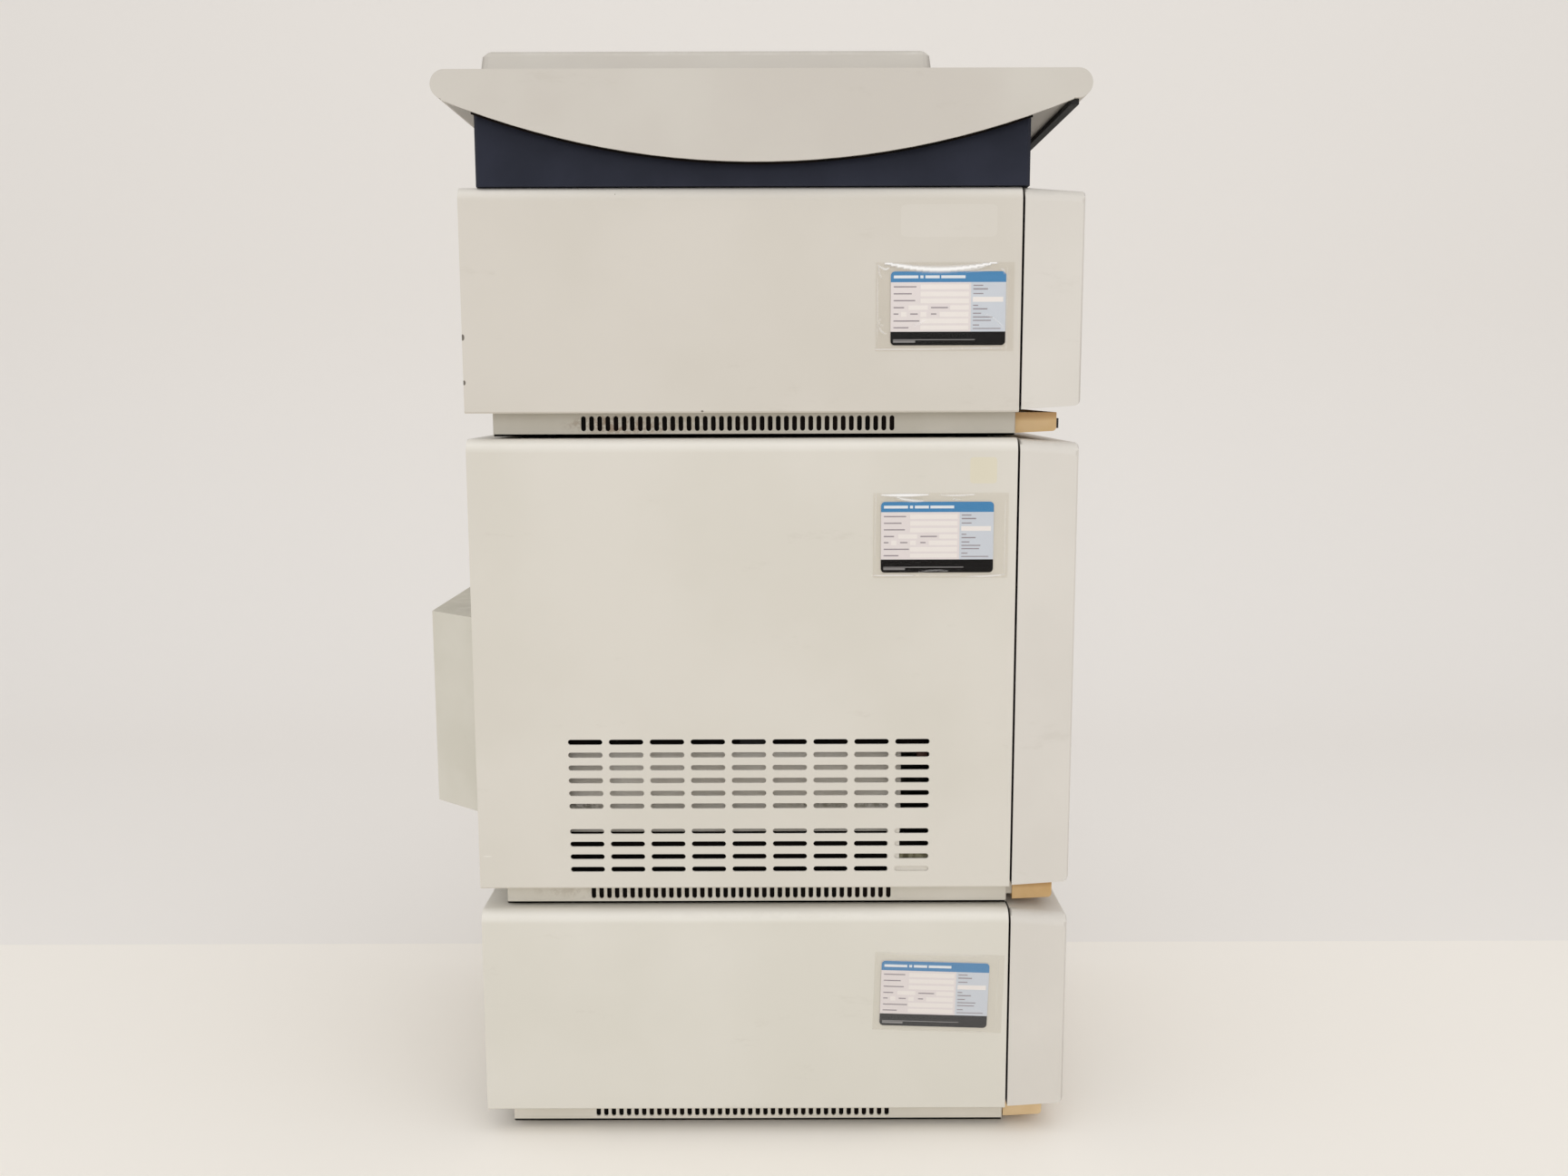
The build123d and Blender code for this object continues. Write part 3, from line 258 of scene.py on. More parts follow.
# The same black also makes the strip of painted shadow under the solvent tray's aprons
foamRubber = surface("foamRubber", {  # closed-cell foam insulation
    "colour": "121110", "tone": "1A1412", "mottle": 20, "rough": 0.95, "specular": 0.05, "grain": 2.0,
    "bump": 0.4,
})
wornFoam = surface("wornFoam", {  # old open-cell foam, stained
    "colour": "8E8A72", "tone": "5F5A46", "mottle": 5, "rough": 0.95, "specular": 0.05, "grain": 1.5,
    "bump": 0.6,
})
anodised = surface("anodised", {  # black anodised aluminium
    "colour": "1E1D1E", "rough": 0.45, "metal": 0.6, "grain": 1.0, "stretch": (0.1, 1, 1), "bump": 0.1,
})
brownPlastic = surface("brownPlastic", {  # moulded phenolic plastic
    "colour": "4A2414", "rough": 0.45, "grain": 1.0, "bump": 0.1,
})
compartmentSheet = surface("compartmentSheet", {  # painted steel sheet
    # Its colour is far paler than the other inner sheets: painted light, brightening it where it lies in
    # shade behind the vents
    "colour": "E2DDD5", "tone": "D2CCC2", "mottle": 30, "rough": 0.6, "specular": 0.3, "grain": 3,
    "bump": 0.05,
    "spots": [
        {"x": 78, "z": 270, "wide": 22, "high": 4, "soft": 0.9, "strength": 0.7, "grain": 4,
         "colour": "6E6655"},
        {"x": 290, "z": 270.5, "wide": 60, "high": 2.5, "soft": 0.9, "strength": 0.7, "grain": 5,
         "colour": "8A836F"},
    ],
})
hoodPaint = surface("hoodPaint", {  # powder-coated steel, grimy on top
    "colour": "D8D4C8", "tone": "D3CFC2", "mottle": 60, "rough": 0.6, "specular": 0.3, "grain": 1.2,
    "bump": 0.15,
    "scuff": 0.25, "dust": 0.22, "dirt": "8A8266",
})
keyRubber = surface("keyRubber", {  # moulded silicone rubber
    "colour": "A9ABA9", "rough": 0.7, "specular": 0.3, "grain": 0.8, "bump": 0.1,
})
displayGlass = surface("displayGlass", {  # liquid-crystal glass, unlit
    "colour": "2C3A30", "tone": "263128", "rough": 0.12, "specular": 0.5,
})
displayField = surface("displayField", {  # liquid-crystal field, unlit
    "colour": "6F7F5E", "tone": "697858", "mottle": 20, "rough": 0.2, "specular": 0.5,
})
greenLamp = surface("greenLamp", {"colour": "3FA052", "rough": 0.2})  # moulded clear plastic
amberLamp = surface("amberLamp", {"colour": "D08A2C", "rough": 0.2})  # moulded clear plastic
innerSheet = surface("innerSheet", {  # painted steel sheet
    "colour": "C6C2B9", "tone": "BFBBB1", "mottle": 70, "rough": 0.5, "specular": 0.3, "grain": 3,
    "bump": 0.05,
})
steel = surface("steel", {  # machined stainless steel
    "colour": "B9B9BA", "rough": 0.28, "metal": 1.0, "grain": 1.0, "stretch": (0.1, 1, 1), "bump": 0.1,
})
aluminium = surface("aluminium", {  # milled and anodised aluminium
    "colour": "C2C3C5", "rough": 0.38, "metal": 1.0, "grain": 1.0, "stretch": (0.1, 1, 1), "bump": 0.1,
})
boardGreen = surface("boardGreen", {  # circuit board with solder mask
    "colour": "1F5A38", "rough": 0.4, "grain": 2.0, "bump": 0.2,
})
rubber = surface("rubber", {  # moulded rubber
    "colour": "1B1B1C", "rough": 0.8, "grain": 1.5, "bump": 0.3,
})

# The cover colours are copies of one paint, the pump's lighter and the detector's darker: painted light low
# in the stack and painted shade at its top
litAndShadedCoverColours = {
    "pump": ("DDD9CF", "D9D5CA"), "sampler": ("D9D4CA", "D5D0C5"), "detector": ("D2CCC2", "CEC8BD"),
}
coverSpots = {
    "pump": [
        {"x": 230, "z": 184, "wide": 150, "high": 3.0, "soft": 0.9, "side": -172, "strength": 0.12,
         "grain": 9, "colour": "A79E8D"},
    ],
    "sampler": [
        {"x": 391.3, "z": 535.7, "wide": 10.3, "high": 10.0, "soft": 0.15, "power": 10, "side": -179,
         "strength": 0.36, "colour": "DCD2A8"},
        {"x": 6.4, "z": 233.8, "wide": 4.0, "high": 0.3, "soft": 0.5, "side": -179, "strength": 0.8,
         "colour": "F2EFE8"},
    ],
    "detector": [
        {"x": 362.8, "z": 719.8, "wide": 35.8, "high": 11.8, "soft": 0.12, "power": 12, "side": -179,
         "strength": 0.15, "colour": "E2DED7"},
        {"x": 178.9, "z": 580.6, "wide": 1.1, "high": 0.8, "soft": 0.4, "side": -178, "strength": 0.9,
         "colour": "5B5348"},
        {"x": 116.2, "z": 739.4, "wide": 0.5, "high": 0.5, "soft": 0.5, "side": -172, "strength": 0.9,
         "colour": "6A5F50"},
        {"x": 0.6, "z": 635.7, "wide": 1.4, "high": 2.6, "soft": 0.4, "side": -177, "strength": 0.9,
         "colour": "4E463B"},
        {"x": 0.6, "z": 602.2, "wide": 1.2, "high": 2.0, "soft": 0.4, "side": -177, "strength": 0.9,
         "colour": "4E463B"},
    ],
}
coverPaints = {
    module: surface(f"{module}CoverPaint", {  # powder-coated steel
        **caseSettings, "colour": litAndShadedCoverColours[module][0], "tone": litAndShadedCoverColours[module][1], "spots": spots,
    })
    for module, spots in coverSpots.items()
}
baseSpots = {
    "pump": [],
    "sampler": [
        {"x": 110, "z": 200, "wide": 90, "high": 8, "soft": 0.9, "strength": 0.25, "grain": 8,
         "colour": "8A7A62"},
    ],
    "detector": [
        {"x": 117, "z": 570, "wide": 52, "high": 9, "soft": 0.9, "strength": 0.6, "grain": 5,
         "colour": "7A5A3C"},
        {"x": 175, "z": 571, "wide": 60, "high": 8, "soft": 0.9, "strength": 0.3, "grain": 6,
         "colour": "8A7658"},
    ],
}
# The base colours are copies of one paint, lighter low in the stack and darker at its top: painted light and
# painted shade
litAndShadedBaseColours = {
    "pump": ("E0DACF", "D9D4C8"), "sampler": ("D8D3C8", "D1CCC0"), "detector": ("C7C2B7", "C0BBAF"),
}
basePaints = {
    module: surface(f"{module}BasePaint", {  # powder-coated steel
        "colour": litAndShadedBaseColours[module][0], "tone": litAndShadedBaseColours[module][1], "mottle": 60, "rough": 0.6,
        "specular": 0.2, "grain": 1.2, "bump": 0.15, "spots": spots,
    })
    for module, spots in baseSpots.items()
}

repaint(casePaint, *[f"{m}_rear_panel" for m in modules])
repaint(hoodPaint, "rear_hood")
repaint(coverPaints["pump"], "pump_cover")
repaint(coverPaints["detector"], "detector_cover")
repaint(doorPlastic, *[f"{m}_door" for m in modules])
repaint(trayPlastic, "solvent_tray", "bottle_well")
repaint(navyPlastic, "tray_base")
for module in modules:
    repaint(tanPlastics[module], f"{module}_drip_tray")
repaint(panelPlastic, *[f"{m}_control_panel" for m in modules])
repaint(blackPlastic, "drain_spout", "fan_frames", "power_inlets", "purge_knob",
        *[f"{m}_power_switch" for m in modules], *[f"{m}_fan_rotor" for m in modules])
repaint(valvePlastic, "proportioning_valve", "label_cards")
repaint(rackPlastic, "sample_racks")
repaint(innerSheet, "power_supplies", "cooling_unit", *[f"{m}_bulkhead" for m in modules])
repaint(compartmentSheet, "sample_compartment")
repaint(steel, "hinge_rods", "pump_heads", "purge_valve", "needle_head", "injection_valve", "syringe_plunger",
        "syringe_barrel", "flow_cell")
repaint(aluminium, "pump_drive", "needle_carriage", "optical_bench", "lamp_housing")
repaint(anodised, "needle_gantry")
repaint(boardGreen, "main_boards")
repaint(rubber, "feet", "tray_edging")
print("materials made")


# Geometry Nodes helpers

# A node group with named inputs of float, integer or material type
def startGroup(name, inputs):
    group = bpy.data.node_groups.new(name, "GeometryNodeTree")
    group.interface.new_socket("Geometry", in_out="INPUT", socket_type="NodeSocketGeometry")
    kinds = {"float": "NodeSocketFloat", "int": "NodeSocketInt", "material": "NodeSocketMaterial"}
    for label, kind in inputs.items():
        group.interface.new_socket(label, in_out="INPUT", socket_type=kinds[kind])
    group.interface.new_socket("Geometry", in_out="OUTPUT", socket_type="NodeSocketGeometry")
    source = group.nodes.new("NodeGroupInput")
    return group, source


def endGroup(group, geometry, material):
    real = addNode(group, "GeometryNodeRealizeInstances", {}, {"Geometry": geometry})
    coated = addNode(group, "GeometryNodeSetMaterial", {}, {
        "Geometry": real.outputs[0], "Material": material,
    })
    addNode(group, "NodeGroupOutput", {}, {0: coated.outputs[0]})


# The group's mesh with these named inputs, as an object without a modifier
def grown(name, group, values, points=((0, 0, 0),)):
    mesh = bpy.data.meshes.new(name)
    mesh.from_pydata([tuple(p) for p in points], [], [])
    obj = placed(name, mesh)
    modifier = obj.modifiers.new("grow", "NODES")
    sockets = {item.name: item.identifier for item in group.interface.items_tree if item.in_out == "INPUT"}
    modifier.node_group = group
    for label, value in values.items():
        modifier[sockets[label]] = value
    shape = obj.evaluated_get(bpy.context.evaluated_depsgraph_get())
    made = bpy.data.meshes.new_from_object(shape)
    obj.modifiers.clear()
    obj.data = made
    return obj


# A plate in X and Y, pierced by rows of round-ended slots with one row left out
def perforationGroup():
    group, source = startGroup("perforation", {
        "Length": "float", "Height": "float", "Thickness": "float", "Columns": "int", "Rows": "int",
        "Pitch X": "float", "Pitch Y": "float", "Slot Length": "float", "Slot Height": "float",
        "Slot Radius": "float", "Middle X": "float", "Middle Y": "float", "Blank Y": "float",
        "Material": "material",
    })
    given = source.outputs
    plate = addNode(group, "GeometryNodeCurvePrimitiveQuadrilateral", {}, {
        "Width": given["Length"], "Height": given["Height"],
    })
    slot = addNode(group, "GeometryNodeCurvePrimitiveQuadrilateral", {}, {
        "Width": given["Slot Length"], "Height": given["Slot Height"],
    })
    rounded = addNode(group, "GeometryNodeFilletCurve", {
        "mode": "POLY", "Count": 6, "Limit Radius": True,
    }, {"Curve": slot.outputs[0], "Radius": given["Slot Radius"]})
    spans = []
    for count, pitch in (("Columns", "Pitch X"), ("Rows", "Pitch Y")):
        gaps = mathNode(group, "SUBTRACT", given[count], 1.0)
        spans.append(mathNode(group, "MULTIPLY", gaps, given[pitch]))
    grid = addNode(group, "GeometryNodeMeshGrid", {}, {
        "Size X": spans[0], "Size Y": spans[1], "Vertices X": given["Columns"], "Vertices Y": given["Rows"],
    })
    middle = addNode(group, "ShaderNodeCombineXYZ", {}, {"X": given["Middle X"], "Y": given["Middle Y"]})
    centred = addNode(group, "GeometryNodeTransform", {}, {
        "Geometry": grid.outputs["Mesh"], "Translation": middle.outputs[0],
    })
    position = addNode(group, "GeometryNodeInputPosition")
    split = addNode(group, "ShaderNodeSeparateXYZ", {}, {"Vector": position.outputs[0]})
    offset = mathNode(group, "ABSOLUTE", mathNode(group, "SUBTRACT", split.outputs[1], given["Blank Y"]))
    half = mathNode(group, "MULTIPLY", given["Pitch Y"], 0.5)
    blank = mathNode(group, "LESS_THAN", offset, half)
    kept = addNode(group, "GeometryNodeDeleteGeometry", {"domain": "POINT"}, {
        "Geometry": centred.outputs[0], "Selection": blank,
    })
    slots = addNode(group, "GeometryNodeInstanceOnPoints", {}, {
        "Points": kept.outputs[0], "Instance": rounded.outputs[0],
    })
    realSlots = addNode(group, "GeometryNodeRealizeInstances", {}, {"Geometry": slots.outputs[0]})
    joined = addNode(group, "GeometryNodeJoinGeometry")
    group.links.new(plate.outputs[0], joined.inputs[0])
    group.links.new(realSlots.outputs[0], joined.inputs[0])
    filled = addNode(group, "GeometryNodeFillCurve", {}, {"Curve": joined.outputs[0]})
    depth = addNode(group, "ShaderNodeCombineXYZ", {}, {"Z": given["Thickness"]})
    raised = addNode(group, "GeometryNodeExtrudeMesh", {"Individual": False}, {
        "Mesh": filled.outputs[0], "Offset": depth.outputs[0],
    })
    back = addNode(group, "GeometryNodeFlipFaces", {}, {"Mesh": filled.outputs[0]})
    solid = addNode(group, "GeometryNodeJoinGeometry")
    group.links.new(raised.outputs[0], solid.inputs[0])
    group.links.new(back.outputs[0], solid.inputs[0])
    merged = addNode(group, "GeometryNodeMergeByDistance", {"Distance": 0.00001}, {
        "Geometry": solid.outputs[0],
    })
    endGroup(group, merged.outputs[0], given["Material"])
    return group


# Stands a plate made in X and Y up, facing the left side, with its middle at this place
def stand(obj, place):
    obj.data.transform(Matrix.Translation(place) @ Matrix.Rotation(math.radians(90), 4, "X"))


def finishMesh(obj, angle=35):
    for polygon in obj.data.polygons:
        polygon.use_smooth = True
    obj.data.set_sharp_from_angle(angle=math.radians(angle))


def meshObject(name, vertices, faces, material):
    mesh = bpy.data.meshes.new(name)
    mesh.from_pydata([tuple(v) for v in vertices], [], faces)
    mesh.materials.append(material)
    obj = placed(name, mesh)
    tidy = bmesh.new()
    tidy.from_mesh(mesh)
    bmesh.ops.recalc_face_normals(tidy, faces=tidy.faces)
    tidy.to_mesh(mesh)
    tidy.free()
    return obj


def box(name, low, high, material):
    vertices = [(x, y, z) for z in (low[2], high[2]) for y in (low[1], high[1]) for x in (low[0], high[0])]
    faces = [(0, 1, 3, 2), (4, 6, 7, 5), (0, 4, 5, 1), (2, 3, 7, 6), (0, 2, 6, 4), (1, 5, 7, 3)]
    return meshObject(name, vertices, faces, material)


# A bent sheet between two open outlines in Y and Z, pulled from x0 to x1
def strip(name, outer, inner, x0, x1, material):
    vertices = []
    for outline in (outer, inner):
        for y, z in outline:
            vertices += [(x0, y, z), (x1, y, z)]
    count = len(outer)
    faces = []
    for n in range(count - 1):
        a, b = 2 * n, 2 * n + 2
        c, d = 2 * count + a, 2 * count + b
        faces += [(a, a + 1, b + 1, b), (c, d, d + 1, c + 1), (a, b, d, c), (a + 1, c + 1, d + 1, b + 1)]
    last = 2 * (count - 1)
    faces += [(0, 2 * count, 2 * count + 1, 1), (last, last + 1, 2 * count + last + 1, 2 * count + last)]
    return meshObject(name, vertices, faces, material)


# One object from several meshes that share a material
def joinedPiece(name, parts, material):
    whole = bmesh.new()
    for part in parts:
        whole.from_mesh(part.data)
    for face in whole.faces:
        face.material_index = 0
    bmesh.ops.remove_doubles(whole, verts=whole.verts, dist=0.000001)
    mesh = bpy.data.meshes.new(name)
    whole.to_mesh(mesh)
    whole.free()
    mesh.materials.append(material)
    for part in parts:
        bpy.data.objects.remove(part)
    obj = placed(name, mesh)
    finishMesh(obj)
    return obj


perforation = perforationGroup()
halfWidth = 180 * mm
sheetThickness = 1.5 * mm


# The sampler's cover, with its field of round-ended vents

ventSettings = {
    "rear": 0.0, "front": 417.0, "low": 207.4, "high": 559.9, "hem": 1.2, "fold": 10.0, "foldSteps": 10,
    "lip": 18.2, "middleX": 212.3, "topRow": 325.5, "rows": 11, "columns": 9, "blankRow": 6,
    "pitchX": 31.8, "pitchZ": 10.25, "length": 26.8, "height": 4.2,
}


def ventedCover(settings, material):
    low, high, fold = (settings[key] * mm for key in ("low", "high", "fold"))
    hem = settings["hem"] * mm
    x0, x1 = benchX(settings["rear"]), benchX(settings["front"])
    plateLow, plateHigh = low + 2 * hem, high - fold
    middleZ = (plateLow + plateHigh) / 2
    rowsMiddle = settings["topRow"] - (settings["rows"] - 1) * settings["pitchZ"] / 2
    blank = settings["topRow"] - settings["blankRow"] * settings["pitchZ"]
    plate = grown("ventPlate", perforation, {
        "Length": x1 - x0, "Height": plateHigh - plateLow, "Thickness": sheetThickness,
        "Columns": settings["columns"], "Rows": settings["rows"],
        "Pitch X": settings["pitchX"] * mm, "Pitch Y": settings["pitchZ"] * mm,
        "Slot Length": settings["length"] * mm, "Slot Height": settings["height"] * mm,
        "Slot Radius": settings["height"] / 2 * mm,
        "Middle X": benchX(settings["middleX"]) - (x0 + x1) / 2, "Middle Y": rowsMiddle * mm - middleZ,
        "Blank Y": blank * mm - middleZ, "Material": material,
    })
    stand(plate, ((x0 + x1) / 2, -halfWidth + sheetThickness, middleZ))
    inward = halfWidth - sheetThickness
    outer, inner = [], []
    for side in (-1, 1):
        angles = [math.pi / 2 * n / settings["foldSteps"] for n in range(settings["foldSteps"] + 1)]
        for angle in angles if side < 0 else reversed(angles):
            reach = (-math.cos(angle) if side < 0 else math.cos(angle)) * fold
            middle = side * (halfWidth - fold)
            outer.append((middle + reach, high - fold + fold * math.sin(angle)))
            scale = (fold - sheetThickness) / fold
            inner.append((middle + reach * scale, high - fold + fold * math.sin(angle) * scale))
    outer += [(halfWidth, low + hem), (halfWidth - hem, low), (halfWidth - settings["lip"] * mm, low)]
    inner += [(inward, low + sheetThickness), (inward - hem, low + sheetThickness),
              (halfWidth - settings["lip"] * mm, low + sheetThickness)]
    top = strip("coverTop", outer, inner, x0, x1, material)
    outer = [(-halfWidth, plateLow), (-halfWidth, low + hem), (-halfWidth + hem, low),
             (-halfWidth + settings["lip"] * mm, low)]
    inner = [(-inward, plateLow), (-inward, low + sheetThickness + hem / 2),
             (-inward + hem, low + sheetThickness),
             (-halfWidth + settings["lip"] * mm, low + sheetThickness)]
    hemStrip = strip("coverHem", outer, inner, x0, x1, material)
    return joinedPiece("ventedCover", [plate, top, hemStrip], material)


# The bases, with round-ended slots along both sides

baseSettings = {
    "rear": 18.0, "front": 417.0, "half": 164.5, "drop": 17.6, "height": 20.6, "corner": 0.8,
    "slots": 39, "pitch": 6.2, "middleX": 205.0, "width": 3.7, "slotHeight": 11.4, "slotDrop": 8.2,
    "filter": (80.0, 330.0, 7.0, 160.0, 162.6),  # rear, front, half its height, inner and outer
    "tongue": 9.0, "tongueHalf": 158.7, "tongueRise": 5.0, "tongueGap": 0.3,
}


def slottedBase(module, caseZ, material):
    settings = baseSettings
    corner = settings["corner"] * mm
    x0, x1 = benchX(settings["rear"]), benchX(settings["front"])
    low = (caseZ - settings["drop"]) * mm
    high = low + settings["height"] * mm
    half = settings["half"] * mm
    middleX, middleZ = (x0 + x1) / 2, (low + high) / 2
    parts = []
    for side in (-1, 1):
        plate = grown("slotPlate", perforation, {
            "Length": x1 - x0 - 2 * corner, "Height": high - low, "Thickness": sheetThickness,
            "Columns": settings["slots"], "Rows": 1, "Pitch X": settings["pitch"] * mm, "Pitch Y": 1 * mm,
            "Slot Length": settings["width"] * mm, "Slot Height": settings["slotHeight"] * mm,
            "Slot Radius": settings["width"] / 2 * mm,
            "Middle X": benchX(settings["middleX"]) - middleX,
            "Middle Y": (caseZ - settings["slotDrop"]) * mm - middleZ, "Blank Y": 1.0, "Material": material,
        })
        stand(plate, (middleX, -half + sheetThickness, middleZ))
        if side > 0:
            plate.data.transform(Matrix.Translation((0, 2 * half - sheetThickness, 0)))  # the far side
        parts.append(plate)
    outline = [(x0 + corner, -half), (x0, -half + corner), (x0, half - corner), (x0 + corner, half)]
    for ends in (outline, [(middleX * 2 - x, y) for x, y in outline]):
        inset = [(x + (sheetThickness if x < middleX else -sheetThickness), y) for x, y in ends]
        inset[0] = (ends[0][0], ends[0][1] + sheetThickness)
        inset[3] = (ends[3][0], ends[3][1] - sheetThickness)
        vertices = [(x, y, z) for z in (low, high) for x, y in ends + inset]
        faces = []
        for n in range(3):
            faces += [(n, n + 1, 9 + n, 8 + n), (4 + n, 12 + n, 13 + n, 5 + n),
                      (n, 4 + n, 5 + n, n + 1), (8 + n, 9 + n, 13 + n, 12 + n)]
        parts.append(meshObject("baseEnd", vertices, faces, material))
    floor = outline + [(middleX * 2 - x, y) for x, y in reversed(outline)]
    vertices = [(x, y, z) for z in (low, low + sheetThickness) for x, y in floor]
    count = len(floor)
    faces = [tuple(range(count)), tuple(range(2 * count - 1, count - 1, -1))]
    faces += [(n, (n + 1) % count, count + (n + 1) % count, count + n) for n in range(count)]
    parts.append(meshObject("baseFloor", vertices, faces, material))
    tongue = ((x1 - sheetThickness, -settings["tongueHalf"] * mm, low + settings["tongueRise"] * mm),
              (x1 + settings["tongue"] * mm, settings["tongueHalf"] * mm,
               (caseZ - settings["tongueGap"]) * mm))
    parts.append(box("baseTongue", *tongue, material))
    return joinedPiece(f"{module}Base", parts, material)


sampler = ventedCover(ventSettings, coverPaints["sampler"])
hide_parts("sampler_cover")
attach(sampler, "stack")


# Dark filters behind the slots of a base, one on each side
def baseFilters(caseZ):
    rear, front, halfHeight, inner, outer = baseSettings["filter"]
    middle = caseZ - baseSettings["slotDrop"]
    parts = []
    for side in (-1, 1):
        near, far = sorted((side * inner, side * outer))
        parts.append(box("filter", (benchX(rear), near * mm, (middle - halfHeight) * mm),
                         (benchX(front), far * mm, (middle + halfHeight) * mm), foamRubber))
    return parts


filterParts = []
for module in modules:
    piece = slottedBase(module, caseHeights[module], basePaints[module])
    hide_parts(f"{module}_base")
    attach(piece, "stack")
    filterParts += baseFilters(caseHeights[module])
filters = joinedPiece("dustFilters", filterParts, foamRubber)
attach(filters, "stack")
print("cover and bases made")


# What shows behind the vents: a frame with a foot and a heel, worn foam, a fitting and the insulation

behindVents = {
    # each block's rear, front, bottom, top, inner and outer
    "frame": (
        (352.7, 361.9, 210.4, 548.1, 176.7, 178.2), (320.6, 352.7, 210.4, 228.0, 176.7, 178.2),
        (320.6, 330.0, 228.0, 258.4, 176.7, 178.2),
    ),
    "foam": ((330.2, 352.5, 229.0, 237.4, 171.0, 176.2),),
    "fitting": ((344.6, 352.4, 308.5, 316.4, 150.0, 165.0),),
    "lining": ((44.0, 352.5, 211.0, 248.6, 161.0, 164.6), (44.0, 352.5, 317.6, 334.0, 161.0, 164.6)),
}


def blockAt(name, size, material):
    rear, front, low, high, inner, outer = size
    return box(name, (benchX(rear), -outer * mm, low * mm), (benchX(front), -inner * mm, high * mm), material)


sheets = [blockAt("sheet", size, casePaint) for size in behindVents["frame"]]
upright = joinedPiece("sideFrame", sheets, casePaint)
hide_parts("side_frame")
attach(upright, "stack")
for name, kind, paint, slotName in (
    ("foamStrip", "foam", wornFoam, "rubber"), ("fitting", "fitting", brownPlastic, "black_plastic"),
    ("foamLining", "lining", foamRubber, "rubber"),
):
    piece = joinedPiece(name, [blockAt("block", size, paint) for size in behindVents[kind]], paint)
    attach(piece, "stack")
print("inner pieces made")


# Outer pieces whose small bevels are shaded as rounds

softSettings = {
    "angle": 50,
    "pieces": {
        "pump_door": ("pump_door", "door_plastic"), "sampler_door": ("sampler_door", "door_plastic"),
        "detector_door": ("detector_door", "door_plastic"), "solvent_tray": ("stack", "tray_plastic"),
        "bottle_well": ("stack", "tray_plastic"),
    },
}


def softened(name):
    source = nodes[name]
    mesh = source.data.copy()
    merged = bmesh.new()
    merged.from_mesh(mesh)
    bmesh.ops.remove_doubles(merged, verts=merged.verts, dist=0.000005)
    bmesh.ops.dissolve_limit(merged, angle_limit=math.radians(0.5), verts=merged.verts, edges=merged.edges)
    merged.to_mesh(mesh)
    merged.free()
    obj = placed(f"soft{name.title().replace('_', '')}", mesh)
    finishMesh(obj, softSettings["angle"])
    weighted = obj.modifiers.new("weighted", "WEIGHTED_NORMAL")
    weighted.keep_sharp = True
    return obj


for name, (body, slotName) in softSettings["pieces"].items():
    piece = softened(name)
    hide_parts(name)
    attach(piece, body)
print("outer pieces softened")


# A thin black strip inside each apron of the solvent tray, standing out under its curved edge: a dark piece
# put where the shade under the apron falls, painted shadow

shadowStripSettings = {
    "middle": 222.0, "bottom": 805.2, "drop": 44.2, "radius": 623.9, "low": 1.3, "high": 4.0,
    "rear": 13.2, "front": 422.0, "steps": 72, "inner": 184.6, "outer": 185.9,
}


def trayShadowStrip(settings):
    centre = settings["bottom"] - settings["drop"] + settings["radius"]
    edges = []
    for radius in (settings["radius"] + settings["low"], settings["radius"] - settings["high"]):
        edge = []
        for n in range(settings["steps"] + 1):
            x = settings["rear"] + (settings["front"] - settings["rear"]) * n / settings["steps"]
            rise = math.sqrt(radius ** 2 - (x - settings["middle"]) ** 2)
            edge.append((benchX(x), (centre - rise) * mm))
        edges.append(edge)
    parts = []
    for side in (-1, 1):
        near, far = sorted((side * settings["inner"], side * settings["outer"]))
        part = strip("shadowStrip", edges[0], edges[1], near * mm, far * mm, foamRubber)
        for vertex in part.data.vertices:
            vertex.co = (vertex.co.y, vertex.co.x, vertex.co.z)
        part.data.flip_normals()
        parts.append(part)
    return joinedPiece("trayShadowStrip", parts, foamRubber)


shadowStrip = trayShadowStrip(shadowStripSettings)
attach(shadowStrip, "stack")
print("tray liner made")


# Keys, displays and lamps on the doors

keypadSettings = {
    "front": 253.0, "y": -110.0, "middles": {"pump": 105.0, "sampler": 383.6, "detector": 662.3},
    "key": {"count": 6, "pitch": 16.0, "size": (12.0, 12.0), "corner": 2.0, "rise": 0.9},
    "glass": {"count": 1, "pitch": 1.0, "size": (83.6, 19.6), "corner": 0.6, "rise": 0.48},
    "field": {"count": 1, "pitch": 1.0, "size": (72.0, 12.0), "corner": 0.4, "rise": 0.03},
    "lamp": {"count": 1, "pitch": 1.0, "size": (3.2, 3.2), "corner": 1.568, "rise": 0.6},
    "crown": 0.93, "sunk": 0.05, "glassBack": 0.98, "fieldBack": 0.49,
    "keyDrop": 15.0, "glassRise": 15.0, "lampY": (-163.0, -157.0),
}


